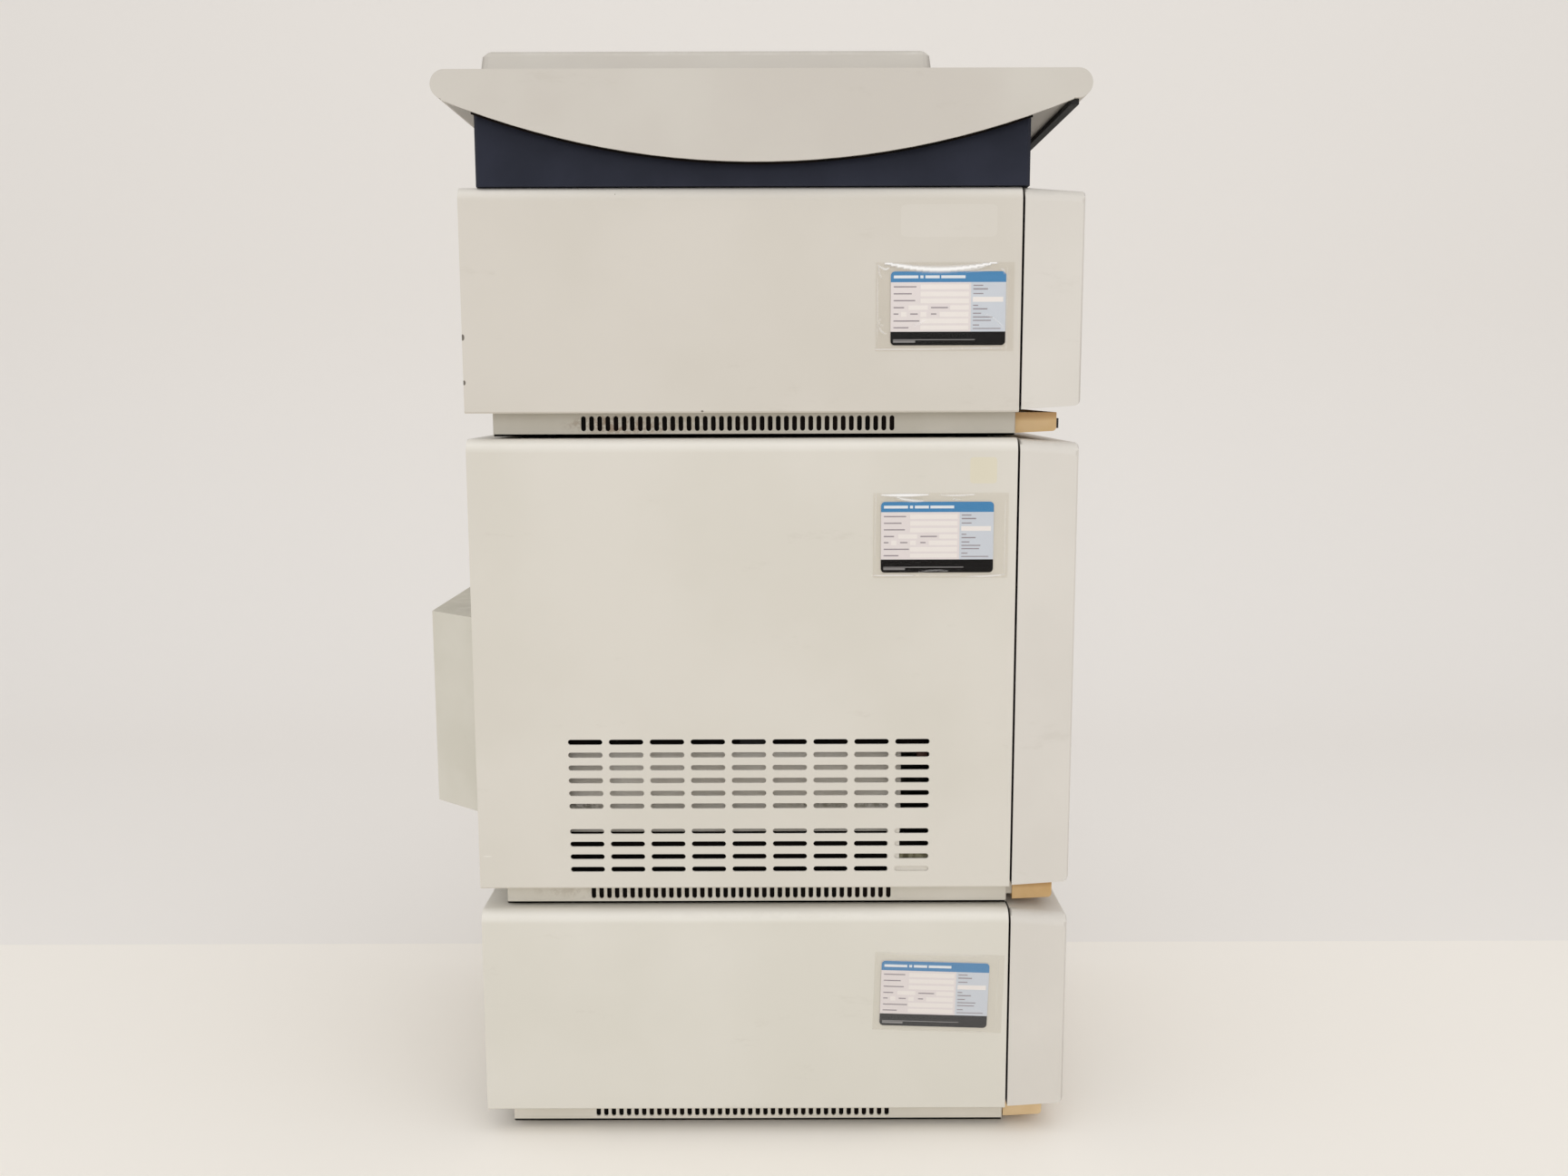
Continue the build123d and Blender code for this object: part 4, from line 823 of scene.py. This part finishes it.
# A row of round-cornered caps in Y, each standing out along X
def capGroup():
    group, source = startGroup("caps", {
        "Count": "int", "Pitch": "float", "Width": "float", "Height": "float", "Corner": "float",
        "Rise": "float", "Material": "material",
    })
    given = source.outputs
    outline = addNode(group, "GeometryNodeCurvePrimitiveQuadrilateral", {}, {
        "Width": given["Height"], "Height": given["Width"],
    })
    rounded = addNode(group, "GeometryNodeFilletCurve", {"mode": "POLY", "Count": 5, "Limit Radius": True}, {
        "Curve": outline.outputs[0], "Radius": given["Corner"],
    })
    filled = addNode(group, "GeometryNodeFillCurve", {"mode": "NGONS"}, {"Curve": rounded.outputs[0]})
    depth = addNode(group, "ShaderNodeCombineXYZ", {}, {"Z": given["Rise"]})
    raised = addNode(group, "GeometryNodeExtrudeMesh", {"Individual": False}, {
        "Mesh": filled.outputs[0], "Offset": depth.outputs[0],
    })
    crown = addNode(group, "GeometryNodeScaleElements", {
        "domain": "FACE", "Scale": keypadSettings["crown"],
    }, {"Geometry": raised.outputs[0], "Selection": raised.outputs["Top"]})
    turned = addNode(group, "GeometryNodeTransform", {"Rotation": Euler((0, math.pi / 2, 0))}, {
        "Geometry": crown.outputs[0],
    })
    spacing = addNode(group, "ShaderNodeCombineXYZ", {}, {"Y": given["Pitch"]})
    back = mathNode(group, "MULTIPLY", mathNode(group, "SUBTRACT", given["Count"], 1.0), -0.5)
    first = mathNode(group, "MULTIPLY", back, given["Pitch"])
    start = addNode(group, "ShaderNodeCombineXYZ", {}, {"Y": first})
    row = addNode(group, "GeometryNodeMeshLine", {}, {
        "Count": given["Count"], "Start Location": start.outputs[0], "Offset": spacing.outputs[0],
    })
    caps = addNode(group, "GeometryNodeInstanceOnPoints", {}, {
        "Points": row.outputs[0], "Instance": turned.outputs[0],
    })
    endGroup(group, caps.outputs[0], given["Material"])
    return group


caps = capGroup()


def capRow(name, place, kind, material):
    settings = keypadSettings[kind]
    wide, high = settings["size"]
    obj = grown(name, caps, {
        "Count": settings["count"], "Pitch": settings["pitch"] * mm, "Width": wide * mm,
        "Height": high * mm,
        "Corner": settings["corner"] * mm, "Rise": settings["rise"] * mm, "Material": material,
    })
    obj.data.transform(Matrix.Translation([value * mm for value in place]))
    return obj


def keypad(module):
    settings = keypadSettings
    front, y, z = settings["front"], settings["y"], settings["middles"][module]
    raised, glassZ = front - settings["sunk"], z + settings["glassRise"]
    keys = capRow(f"{module}Keys", (raised, y, z - settings["keyDrop"]), "key", keyRubber)
    glass = capRow(f"{module}Glass", (front - settings["glassBack"], y, glassZ), "glass", displayGlass)
    field = capRow(f"{module}Field", (front - settings["fieldBack"], y, glassZ), "field", displayField)
    pieces = [(keys, "panel_plastic"), (glass, "glass"), (field, "glass")]
    for lampY, paint in zip(settings["lampY"], (greenLamp, amberLamp)):
        lamp = capRow(f"{module}Lamp", (raised, lampY, glassZ), "lamp", paint)
        pieces.append((lamp, "clear_film"))
    for piece, slotName in pieces:
        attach(piece, f"{module}_door")


for module in modules:
    keypad(module)
print("keypads made")


# Pan-head screws on the rear panels, the fans and the inlets

screwSettings = {
    "sides": 20, "cross": 0.6, "seed": 4, "edge": 6.5, "acrossPanel": (-168.0, -60.0, 30.0, 168.0),
    "panels": ((25.0, 186.2, ()), (210.4, 558.1, (384.0,)), (582.3, 743.5, ())),  # low, high and between
    "fans": ((90.0, 114.0), (90.0, 671.3)), "fanHalf": 35.75, "inletY": -110.0,
    "inlets": (82.0, 465.4, 639.3), "inletHalf": 27.6, "barLength": 1.1, "barDepth": 0.8,
    "panelScrews": {"x": -208.0, "radius": 3.1, "rise": 1.6},
    "inletScrews": {"x": -209.4, "radius": 1.7, "rise": 0.7},
}


def screwGroup():
    group, source = startGroup("screws", {
        "Radius": "float", "Rise": "float", "Cross": "float", "Seed": "int", "Material": "material",
    })
    given = source.outputs
    head = addNode(group, "GeometryNodeMeshCylinder", {"Vertices": screwSettings["sides"]}, {
        "Radius": given["Radius"], "Depth": given["Rise"],
    })
    long = mathNode(group, "MULTIPLY", given["Radius"], screwSettings["barLength"])
    deep = mathNode(group, "MULTIPLY", given["Rise"], screwSettings["barDepth"])
    bars = []
    lift = addNode(group, "ShaderNodeCombineXYZ", {}, {"Z": mathNode(group, "MULTIPLY", given["Rise"], 0.5)})
    for sizes in ((long, given["Cross"]), (given["Cross"], long)):
        size = addNode(group, "ShaderNodeCombineXYZ", {}, {"X": sizes[0], "Y": sizes[1], "Z": deep})
        bar = addNode(group, "GeometryNodeMeshCube", {}, {"Size": size.outputs[0]})
        raised = addNode(group, "GeometryNodeTransform", {}, {
            "Geometry": bar.outputs["Mesh"], "Translation": lift.outputs[0],
        })
        bars.append(raised.outputs[0])
    cut = addNode(group, "GeometryNodeMeshBoolean", {"operation": "DIFFERENCE", "solver": "MANIFOLD"}, {
        "Mesh 1": head.outputs["Mesh"],
    })
    for bar in bars:
        group.links.new(bar, cut.inputs["Mesh 2"])
    outward = addNode(group, "GeometryNodeTransform", {"Rotation": Euler((0, -math.pi / 2, 0))}, {
        "Geometry": cut.outputs[0],
    })
    turn = addNode(group, "FunctionNodeRandomValue", {"data_type": "FLOAT"}, {"Seed": given["Seed"]})
    turn.inputs[3].default_value = math.pi
    spin = addNode(group, "ShaderNodeCombineXYZ", {}, {"X": turn.outputs[1]})
    screws = addNode(group, "GeometryNodeInstanceOnPoints", {}, {
        "Points": source.outputs[0], "Instance": outward.outputs[0], "Rotation": spin.outputs[0],
    })
    endGroup(group, screws.outputs[0], given["Material"])
    return group


def panelPoints(settings):
    points = []
    for low, high, between in settings["panels"]:
        for z in (low + settings["edge"], *between, high - settings["edge"]):
            across = settings["acrossPanel"] if z not in between else settings["acrossPanel"][::3]
            points += [(y, z) for y in across]
    half = settings["fanHalf"]
    points += [(y + a * half, z + b * half) for y, z in settings["fans"] for a in (-1, 1) for b in (-1, 1)]
    return points


def inletPoints(settings):
    half = settings["inletHalf"]
    return [(settings["inletY"], z + side * half) for z in settings["inlets"] for side in (-1, 1)]


screws = screwGroup()
for name, findPoints in (("panelScrews", panelPoints), ("inletScrews", inletPoints)):
    kind, points = screwSettings[name], findPoints(screwSettings)
    piece = grown(name, screws, {
        "Radius": kind["radius"] * mm, "Rise": kind["rise"] * mm, "Cross": screwSettings["cross"] * mm,
        "Seed": screwSettings["seed"], "Material": steel,
    }, [(kind["x"] * mm, y * mm, z * mm) for y, z in points])
    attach(piece, "stack")
print("screws made")


# Cards in clear pouches on the left side

cardSettings = {
    "width": 85.6, "height": 54.0, "thickness": 0.6, "corner": 3.0, "cornerSteps": 6,
    "face": 0.45, "print": 0.02,
    "places": {
        "detector": (360.3, 657.2, 0.0, 2.4, -1.2),
        "sampler": (359.3, 486.2, 0.0, -2.7, -1.2),
        "pump": (362.0, 120.3, -1.8, -3.2, -1.2),
    },
    "colours": {
        "stock": "E9E2E3", "header": "4C8BBE", "column": "D2D8E2", "field": "F3EEEC", "footer": "0D0B0C",
        "rule": "8D8B8C", "bar": "9C949A", "title": "E9EEF4",
    },
    # each print is a colour, its left and right edge and its top and bottom edge from the card's top left
    "prints": [
        ("header", 0.0, 85.6, 0.0, 7.8), ("column", 59.7, 85.6, 7.8, 44.0),
        ("footer", 0.0, 85.6, 44.0, 54.0),
        ("field", 22.2, 58.2, 9.5, 13.0), ("field", 22.2, 58.2, 14.7, 18.1),
        ("field", 22.2, 58.2, 19.8, 23.2),
        ("field", 13.3, 27.6, 24.7, 28.0), ("field", 44.3, 58.2, 24.7, 28.0),
        ("field", 7.8, 11.8, 29.5, 33.0),
        ("field", 22.2, 26.6, 29.5, 33.0), ("field", 36.5, 58.0, 29.5, 33.0),
        ("field", 22.2, 58.0, 34.4, 37.9),
        ("field", 22.2, 58.0, 39.4, 42.6), ("field", 61.0, 83.6, 18.6, 22.2),
        ("rule", 2.0, 63.0, 49.6, 50.2),
        ("rule", 2.0, 18.4, 50.5, 52.0), ("title", 2.2, 20.4, 2.9, 5.0), ("title", 21.9, 24.2, 2.9, 5.0),
        ("title", 25.6, 36.2, 2.9, 5.0), ("title", 37.4, 55.4, 2.9, 5.0),
        ("bar", 2.2, 19.0, 10.7, 11.6), ("bar", 2.2, 15.6, 15.8, 16.7),
        ("bar", 2.2, 18.2, 20.8, 21.7), ("bar", 2.2, 10.0, 25.9, 26.8), ("bar", 30.0, 42.6, 25.9, 26.8),
        ("bar", 2.2, 5.8, 30.6, 31.5), ("bar", 14.6, 20.2, 30.6, 31.5), ("bar", 30.0, 34.0, 30.6, 31.5),
        ("bar", 2.2, 21.4, 35.7, 36.6), ("bar", 2.2, 13.4, 40.6, 41.5), ("bar", 61.3, 68.6, 9.8, 10.6),
        ("bar", 61.3, 72.2, 12.3, 13.3), ("bar", 61.3, 68.8, 15.8, 16.6), ("bar", 61.3, 65.0, 24.4, 25.2),
        ("bar", 61.3, 72.0, 26.9, 27.8), ("bar", 61.3, 67.4, 30.2, 31.0), ("bar", 61.3, 75.8, 32.9, 33.7),
        ("bar", 61.3, 74.8, 35.4, 36.2), ("bar", 61.3, 66.0, 38.8, 39.6), ("bar", 61.3, 82.0, 41.4, 42.1),
    ],
}


def roundedOutline(width, height, corner, steps):
    points = []
    for quarter, (sx, sz) in enumerate(((1, 1), (-1, 1), (-1, -1), (1, -1))):
        for n in range(steps + 1):
            angle = math.pi / 2 * (quarter + n / steps)
            points.append((sx * (width / 2 - corner) + corner * math.cos(angle),
                           sz * (height / 2 - corner) + corner * math.sin(angle)))
    return points


# The outline's part between two heights
def clipped(points, low, high):
    kept = []
    for (xa, za), (xb, zb) in zip(points, points[1:] + points[:1]):
        if low <= za <= high:
            kept.append((xa, za))
        for level in (low, high):
            if (za - level) * (zb - level) < 0:
                share = (level - za) / (zb - za)
                kept.append((xa + share * (xb - xa), level))
    return kept


cardPaints = {
    name: surface(f"card{name.capitalize()}", {  # coated card stock
        "colour": colour, "rough": 0.35, "specular": 0.12, "grain": 1.0, "bump": 0.03, "mottle": 30,
    })
    for name, colour in cardSettings["colours"].items()
}


# Points in the card's own plane, turned and moved to the left side, at a height off the cover
def placeOnSide(points, place, depth, shift=(0, 0)):
    turn = math.radians(place[2])
    moved = []
    for x, z in points:
        x, z = x + shift[0], z + shift[1]
        moved.append((
            benchX(place[0] + x * math.cos(turn) - z * math.sin(turn)),
            -halfWidth - depth * mm,
            (place[1] + x * math.sin(turn) + z * math.cos(turn)) * mm,
        ))
    return moved


def card(module, place):
    settings = cardSettings
    width, height = settings["width"], settings["height"]
    outline = roundedOutline(width, height, settings["corner"], settings["cornerSteps"])
    shift = place[3:]
    near = placeOnSide(outline, place, settings["face"] + settings["thickness"], shift)
    far = placeOnSide(outline, place, settings["face"], shift)
    count = len(outline)
    vertices = near + far
    faces = [tuple(range(count)), tuple(range(2 * count - 1, count - 1, -1))]
    faces += [(n, (n + 1) % count, count + (n + 1) % count, count + n) for n in range(count)]
    indices = [0] * len(faces)
    slots = list(settings["colours"])
    for layer, (kind, left, right, top, bottom) in enumerate(settings["prints"]):
        if kind in ("header", "footer"):
            points = clipped(outline, height / 2 - bottom, height / 2 - top)
        else:
            xs = (left - width / 2, right - width / 2)
            zs = (height / 2 - bottom, height / 2 - top)
            points = [(xs[0], zs[0]), (xs[1], zs[0]), (xs[1], zs[1]), (xs[0], zs[1])]
        lift = settings["print"] * (1 if layer < 3 else 2)
        start = len(vertices)
        vertices += placeOnSide(points, place, settings["face"] + settings["thickness"] + lift, shift)
        faces.append(tuple(range(start, start + len(points))))
        indices.append(slots.index(kind))
    mesh = bpy.data.meshes.new(f"{module}Card")
    mesh.from_pydata(vertices, [], faces)
    for name in slots:
        mesh.materials.append(cardPaints[name])
    for polygon, index in zip(mesh.polygons, indices):
        polygon.material_index = index
    return placed(f"{module}Card", mesh)


# Clear vinyl film, shiny, mixed towards milky white by its haze and by painted highlights along its creases
filmSettings = {
    "clear": "FAF9F7", "gloss": "FFFFFF", "milkyAndHighlight": "FBFAF9", "rough": 0.15, "power": 4.0, "edgeGloss": 0.6,
    "flatGloss": 0.006,
}


def filmMaterial():
    material = bpy.data.materials.new("clearFilm")
    material.use_nodes = True
    tree = material.node_tree
    tree.nodes.clear()
    clear = addNode(tree, "ShaderNodeBsdfTransparent", {"Color": linear(filmSettings["clear"])})
    gloss = addNode(tree, "ShaderNodeBsdfAnisotropic", {
        "Color": linear(filmSettings["gloss"]), "Roughness": filmSettings["rough"],
    })
    milkyAndHighlight = addNode(tree, "ShaderNodeBsdfDiffuse", {"Color": linear(filmSettings["milkyAndHighlight"])})
    facing = addNode(tree, "ShaderNodeLayerWeight", {"Blend": 0.5}).outputs["Facing"]
    grazing = mathNode(tree, "POWER", facing, filmSettings["power"])
    factor = mathNode(tree, "MULTIPLY", grazing, filmSettings["edgeGloss"])
    factor = mathNode(tree, "ADD", factor, filmSettings["flatGloss"])
    film = addNode(tree, "ShaderNodeMixShader", {}, {0: factor, 1: clear.outputs[0], 2: gloss.outputs[0]})
    # The attribute holds the film's haze and the painted highlights along its creases
    creaseHighlight = addNode(tree, "ShaderNodeAttribute", {"attribute_name": "creaseHighlight"}).outputs["Fac"]
    hazedAndHighlighted = addNode(tree, "ShaderNodeMixShader", {}, {0: creaseHighlight, 1: film.outputs[0], 2: milkyAndHighlight.outputs[0]})
    addNode(tree, "ShaderNodeOutputMaterial", {}, {"Surface": hazedAndHighlighted.outputs[0]})
    return material


# Creases run through three points, in mm from the middle of the pouch, with a half width and the strength of
# their painted highlight
pouchSettings = {
    "bends": 16, "waves": 5, "waveBounds": ((0.25, 0.9), (-0.25, 0.25), (0, 6.28), (0.4, 1.0)),
    "tight": 0.25, "mouth": 0.62, "drift": 0.06, "taper": 0.35, "edge": 0.25, "least": 0.15,
    "width": 103.0, "height": 65.0, "columns": 150, "rows": 96, "depth": 1.3, "seam": 2.2,
    "wrinkle": 0.3, "ridge": 0.35, "seed": 11,
    "creaseHighlights": {
        "pump": [
            ((-51, 31.5), (0, 31.9), (51, 31.3), 0.35, 0.25),
            ((-50.6, -31.8), (0, -32.0), (51, -31.6), 0.3, 0.3),
            ((-51, -32), (-51.2, 0), (-51, 31), 0.35, 0.3), ((46.5, -31), (46.8, 0), (46.6, 31), 0.3, 0.15),
        ],
        "sampler": [
            ((-44, 31.0), (-28, 30.8), (-11, 31.2), 1.1, 1.0),
            ((-33, 29.2), (-25, 27.2), (-14, 26.4), 1.1, 0.7),
            ((0, 31.0), (12, 30.6), (26, 31.4), 0.5, 0.8),
            ((-50.5, -30.6), (-36, -30.4), (-20, -30.6), 0.5, 0.8),
            ((21, -31.3), (36, -31.1), (48, -30.0), 0.6, 0.85),
            ((-20, -30.8), (0, -30.3), (21, -31.0), 0.3, 0.4),
            ((-49.6, -30), (-49.9, 0), (-49.4, 30), 0.4, 0.3),
            ((48.6, -29), (48.9, 0), (48.5, 30), 0.35, 0.25),
            ((9, 28.5), (11, 27.6), (15, 27.2), 0.5, 0.4),
            ((-16, -27.8), (-4, -26.6), (6, -27.4), 0.5, 0.25),
        ],
        "detector": [
            ((-42, 31.6), (-4, 27.2), (35.5, 32.0), 1.9, 1.0),
            ((-43, 31.4), (-30, 29.6), (-18, 28.0), 1.2, 0.9),
            ((-2, 26.6), (18, 26.8), (33, 31.0), 0.7, 0.55),
            ((-50, 30.5), (-45, 27.5), (-42, 28.6), 0.6, 0.75),
            ((-49.5, 29), (-48.8, 24), (-47, 21), 0.5, 0.4),
            ((40.5, 27.4), (43.2, 26.4), (43.6, 23), 0.4, 0.6),
            ((-50.6, -31.2), (-10, -31.0), (46.8, -30.2), 0.4, 0.7),
            ((-48.7, -15), (-47, -18), (-44, -19.6), 0.5, 0.5),
            ((-22, -13.6), (-17, -11.2), (-15, -9.8), 0.8, 0.35),
            ((30, -5.3), (38, -10), (44, -16), 0.5, 0.35),
            ((-50.6, -30), (-50.2, 0), (-50.6, 29), 0.5, 0.35),
            ((46.0, -30), (46.2, 0), (45.8, 30), 0.35, 0.25),
            ((-47, -8), (-49, -12), (-45, -14), 0.4, 0.35), ((16, 25.2), (24, 26.0), (38, 26.6), 0.5, 0.35),
        ],
    },
    "haze": {"pump": 0.07, "sampler": 0.0, "detector": 0.0},
}
clearFilm = filmMaterial()


# The nearest of the points along a bent line, as the distance to it and the share of its length
def creaseAt(x, z, creaseHighlight):
    (xa, za), (xb, zb), (xc, zc) = creaseHighlight[:3]
    bends = pouchSettings["bends"]
    along, rise = (xc - xa) / bends or 1e-6, (zc - za) / bends
    length = math.hypot(along, rise)
    best = (math.inf, 0.0)
    for n in range(bends + 1):
        s = n / bends
        px = (1 - s) ** 2 * xa + 2 * s * (1 - s) * (2 * xb - (xa + xc) / 2) + s * s * xc
        pz = (1 - s) ** 2 * za + 2 * s * (1 - s) * (2 * zb - (za + zc) / 2) + s * s * zc
        forward = max(-0.5, min(0.5, ((x - px) * along + (z - pz) * rise) / length ** 2))
        distance = math.hypot(x - px - forward * along, z - pz - forward * rise)
        if distance < best[0]:
            best = (distance, s)
    return best


# A sheet of film that lies on the card and closes to the cover round its edge
def pouch(module, place, seed):
    settings = pouchSettings
    width, height = settings["width"], settings["height"]
    creaseHighlights = settings["creaseHighlights"][module]
    random.seed(seed)
    waves = [
        [random.uniform(*bounds) for bounds in settings["waveBounds"]] for _ in range(settings["waves"])
    ]
    vertices, hazeAndHighlights = [], []
    for row in range(settings["rows"] + 1):
        z = -height / 2 + height * row / settings["rows"]
        for column in range(settings["columns"] + 1):
            x = -width / 2 + width * column / settings["columns"]
            edge = min(width / 2 - abs(x), height / 2 - abs(z))
            rise = min(1.0, max(0.0, edge / settings["seam"]))
            rise = rise * rise * (3 - 2 * rise)
            mouth = max(0.0, (z / (height / 2) - settings["mouth"]) / (1 - settings["mouth"]))
            loose = settings["tight"] + (1 - settings["tight"]) * mouth
            wave = sum(
                size * math.sin(pitch * (z + slant * x) + start + settings["drift"] * x)
                for pitch, slant, start, size in waves
            ) / len(waves)
            hazeAndHighlight = settings["haze"][module]
            # Near each crease the film gets a painted highlight, which also raises a low ridge; the haze is
            # the film's own milkiness
            for creaseHighlight in creaseHighlights:
                distance, share = creaseAt(x, z, creaseHighlight)
                taper = settings["taper"]
                reach = creaseHighlight[3] * (taper + (1 - taper) * math.sin(math.pi * share))
                hazeAndHighlight = max(hazeAndHighlight, creaseHighlight[4] * math.exp(-(distance / reach) ** 2))
            depth = settings["edge"] + (settings["depth"] - settings["edge"]) * rise
            depth += (settings["wrinkle"] * loose * wave + settings["ridge"] * hazeAndHighlight) * rise
            vertices.append(placeOnSide([(x, z)], place, max(settings["least"], depth))[0])
            hazeAndHighlights.append(hazeAndHighlight)
    stride = settings["columns"] + 1
    starts = [
        row * stride + column for row in range(settings["rows"]) for column in range(settings["columns"])
    ]
    faces = [(n, n + 1, n + stride + 1, n + stride) for n in starts]
    obj = meshObject(f"{module}Pouch", vertices, faces, clearFilm)
    creaseHighlight = obj.data.attributes.new("creaseHighlight", "FLOAT", "POINT")
    creaseHighlight.data.foreach_set("value", hazeAndHighlights)
    finishMesh(obj, 80)
    return obj


for number, module in enumerate(modules):
    place = cardSettings["places"][module]
    printed = card(module, place)
    film = pouch(module, place, pouchSettings["seed"] + number)
    for piece, slotName in ((printed, "card"), (film, "clear_film")):
        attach(piece, "stack")
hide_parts("label_cards")
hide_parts("label_pouches")
print("cards made")


# Floor, backdrop, light and camera

stageSettings = {
    "table": "F8F3EB", "wall": "F1EDE8", "sky": "DFDAD5", "room": "F6F6F7", "roomStrength": 0.76,
    "rough": 0.8, "specular": 0.2, "half": 2.6, "tableHalf": 6.0, "tableFront": -4.0, "tableEnd": 0.222,
    "bendStart": 1.1, "bend": 0.8, "bendSteps": 16, "high": 3.0, "backdropDrop": 0.001,
    "floorEnd": 6.0, "floorDrop": 0.003,
}


# A backdrop is clear from behind, so that it never hides the object
def stagePaint(name, colour, clearBehind):
    material, tree, _, shader = newMaterial(name)
    shader.inputs["Base Color"].default_value = linear(colour)
    shader.inputs["Roughness"].default_value = stageSettings["rough"]
    shader.inputs["Specular IOR Level"].default_value = stageSettings["specular"]
    if clearBehind:
        behind = addNode(tree, "ShaderNodeNewGeometry").outputs["Backfacing"]
        clear = addNode(tree, "ShaderNodeBsdfTransparent")
        mixed = addNode(tree, "ShaderNodeMixShader", {}, {
            0: behind, 1: shader.outputs[0], 2: clear.outputs[0],
        })
        tree.links.new(mixed.outputs[0], tree.nodes["Material Output"].inputs["Surface"])
    return material


def stageStrip(name, outline, half, material):
    mesh = bpy.data.meshes.new(name)
    vertices = [(x, y, z) for y, z in outline for x in (-half, half)]
    faces = [(2 * n, 2 * n + 1, 2 * n + 3, 2 * n + 2) for n in range(len(outline) - 1)]
    mesh.from_pydata(vertices, [], faces)
    mesh.materials.append(material)
    obj = placed(name, mesh)
    for polygon in mesh.polygons:
        polygon.use_smooth = True


def backdropOutline(settings):
    start, bend, low = settings["bendStart"], settings["bend"], -settings["backdropDrop"]
    outline = [(settings["tableEnd"], low), (start, low)]
    for n in range(1, settings["bendSteps"] + 1):
        angle = math.pi / 2 * n / settings["bendSteps"]
        outline.append((start + bend * math.sin(angle), low + bend * (1 - math.cos(angle))))
    return outline + [(start + bend, settings["high"])]


tableHalf, tableEnd = stageSettings["tableHalf"], stageSettings["tableEnd"]
floorZ = -stageSettings["floorDrop"]
tableOutline = [(stageSettings["tableFront"], 0), (tableEnd, 0)]
floorOutline = [(tableEnd, floorZ), (stageSettings["floorEnd"], floorZ)]
wallPaint = stagePaint("wallPaint", stageSettings["wall"], True)
stageStrip("table", tableOutline, tableHalf, stagePaint("tablePaint", stageSettings["table"], False))
stageStrip("backdrop", backdropOutline(stageSettings), stageSettings["half"], wallPaint)
stageStrip("farFloor", floorOutline, tableHalf, stagePaint("floorPaint", stageSettings["wall"], False))

world = bpy.data.worlds.new("room")
scene.world = world
world.use_nodes = True
sky = world.node_tree
sky.nodes.clear()
roomLight = addNode(sky, "ShaderNodeBackground", {
    "Color": linear(stageSettings["room"]), "Strength": stageSettings["roomStrength"],
})
paleWall = addNode(sky, "ShaderNodeBackground", {"Color": linear(stageSettings["sky"]), "Strength": 1.0})
path = addNode(sky, "ShaderNodeLightPath").outputs
seen = mathNode(sky, "MAXIMUM", path["Is Camera Ray"], path["Is Glossy Ray"])
seen = mathNode(sky, "MAXIMUM", seen, path["Is Transmission Ray"])
backdropMix = addNode(sky, "ShaderNodeMixShader", {}, {
    0: seen, 1: roomLight.outputs[0], 2: paleWall.outputs[0],
})
addNode(sky, "ShaderNodeOutputWorld", {}, {"Surface": backdropMix.outputs[0]})

lights = {
    "ceiling": {"place": (0.2, -1.2, 2.9), "aim": (0, 0, 0.3), "size": 2.6, "power": 20, "colour": "FFFFFF"},
    "window": {"place": (0.0, -4.2, 1.8), "aim": (0, 0, 0.3), "size": 1.7, "power": 28, "colour": "FDFEFF"},
}
for name, settings in lights.items():
    light = bpy.data.lights.new(name, "AREA")
    light.shape = "SQUARE"
    light.size = settings["size"]
    light.energy = settings["power"]
    light.color = linear(settings["colour"])[:3]
    lamp = placed(name, light)
    lamp.visible_camera = False
    lamp.location = settings["place"]
    aim = Vector(settings["aim"]) - Vector(settings["place"])
    lamp.rotation_euler = aim.to_track_quat("-Z", "Y").to_euler()

view = {"lens": 32.71, "place": (0.02985, -1.2594, 0.5979), "pitch": 8.0, "roll": -0.16}
cameraData = bpy.data.cameras.new("camera")
cameraData.sensor_width = 36
cameraData.lens = view["lens"]
camera = placed("camera", cameraData)
camera.location = view["place"]
turned = Euler((math.radians(90 - view["pitch"]), 0, 0)).to_matrix() @ Matrix.Rotation(
    math.radians(view["roll"]), 3, "Z"
)
camera.rotation_euler = turned.to_euler()
scene.camera = camera
scene.view_settings.view_transform = "Standard"
print("stage made")
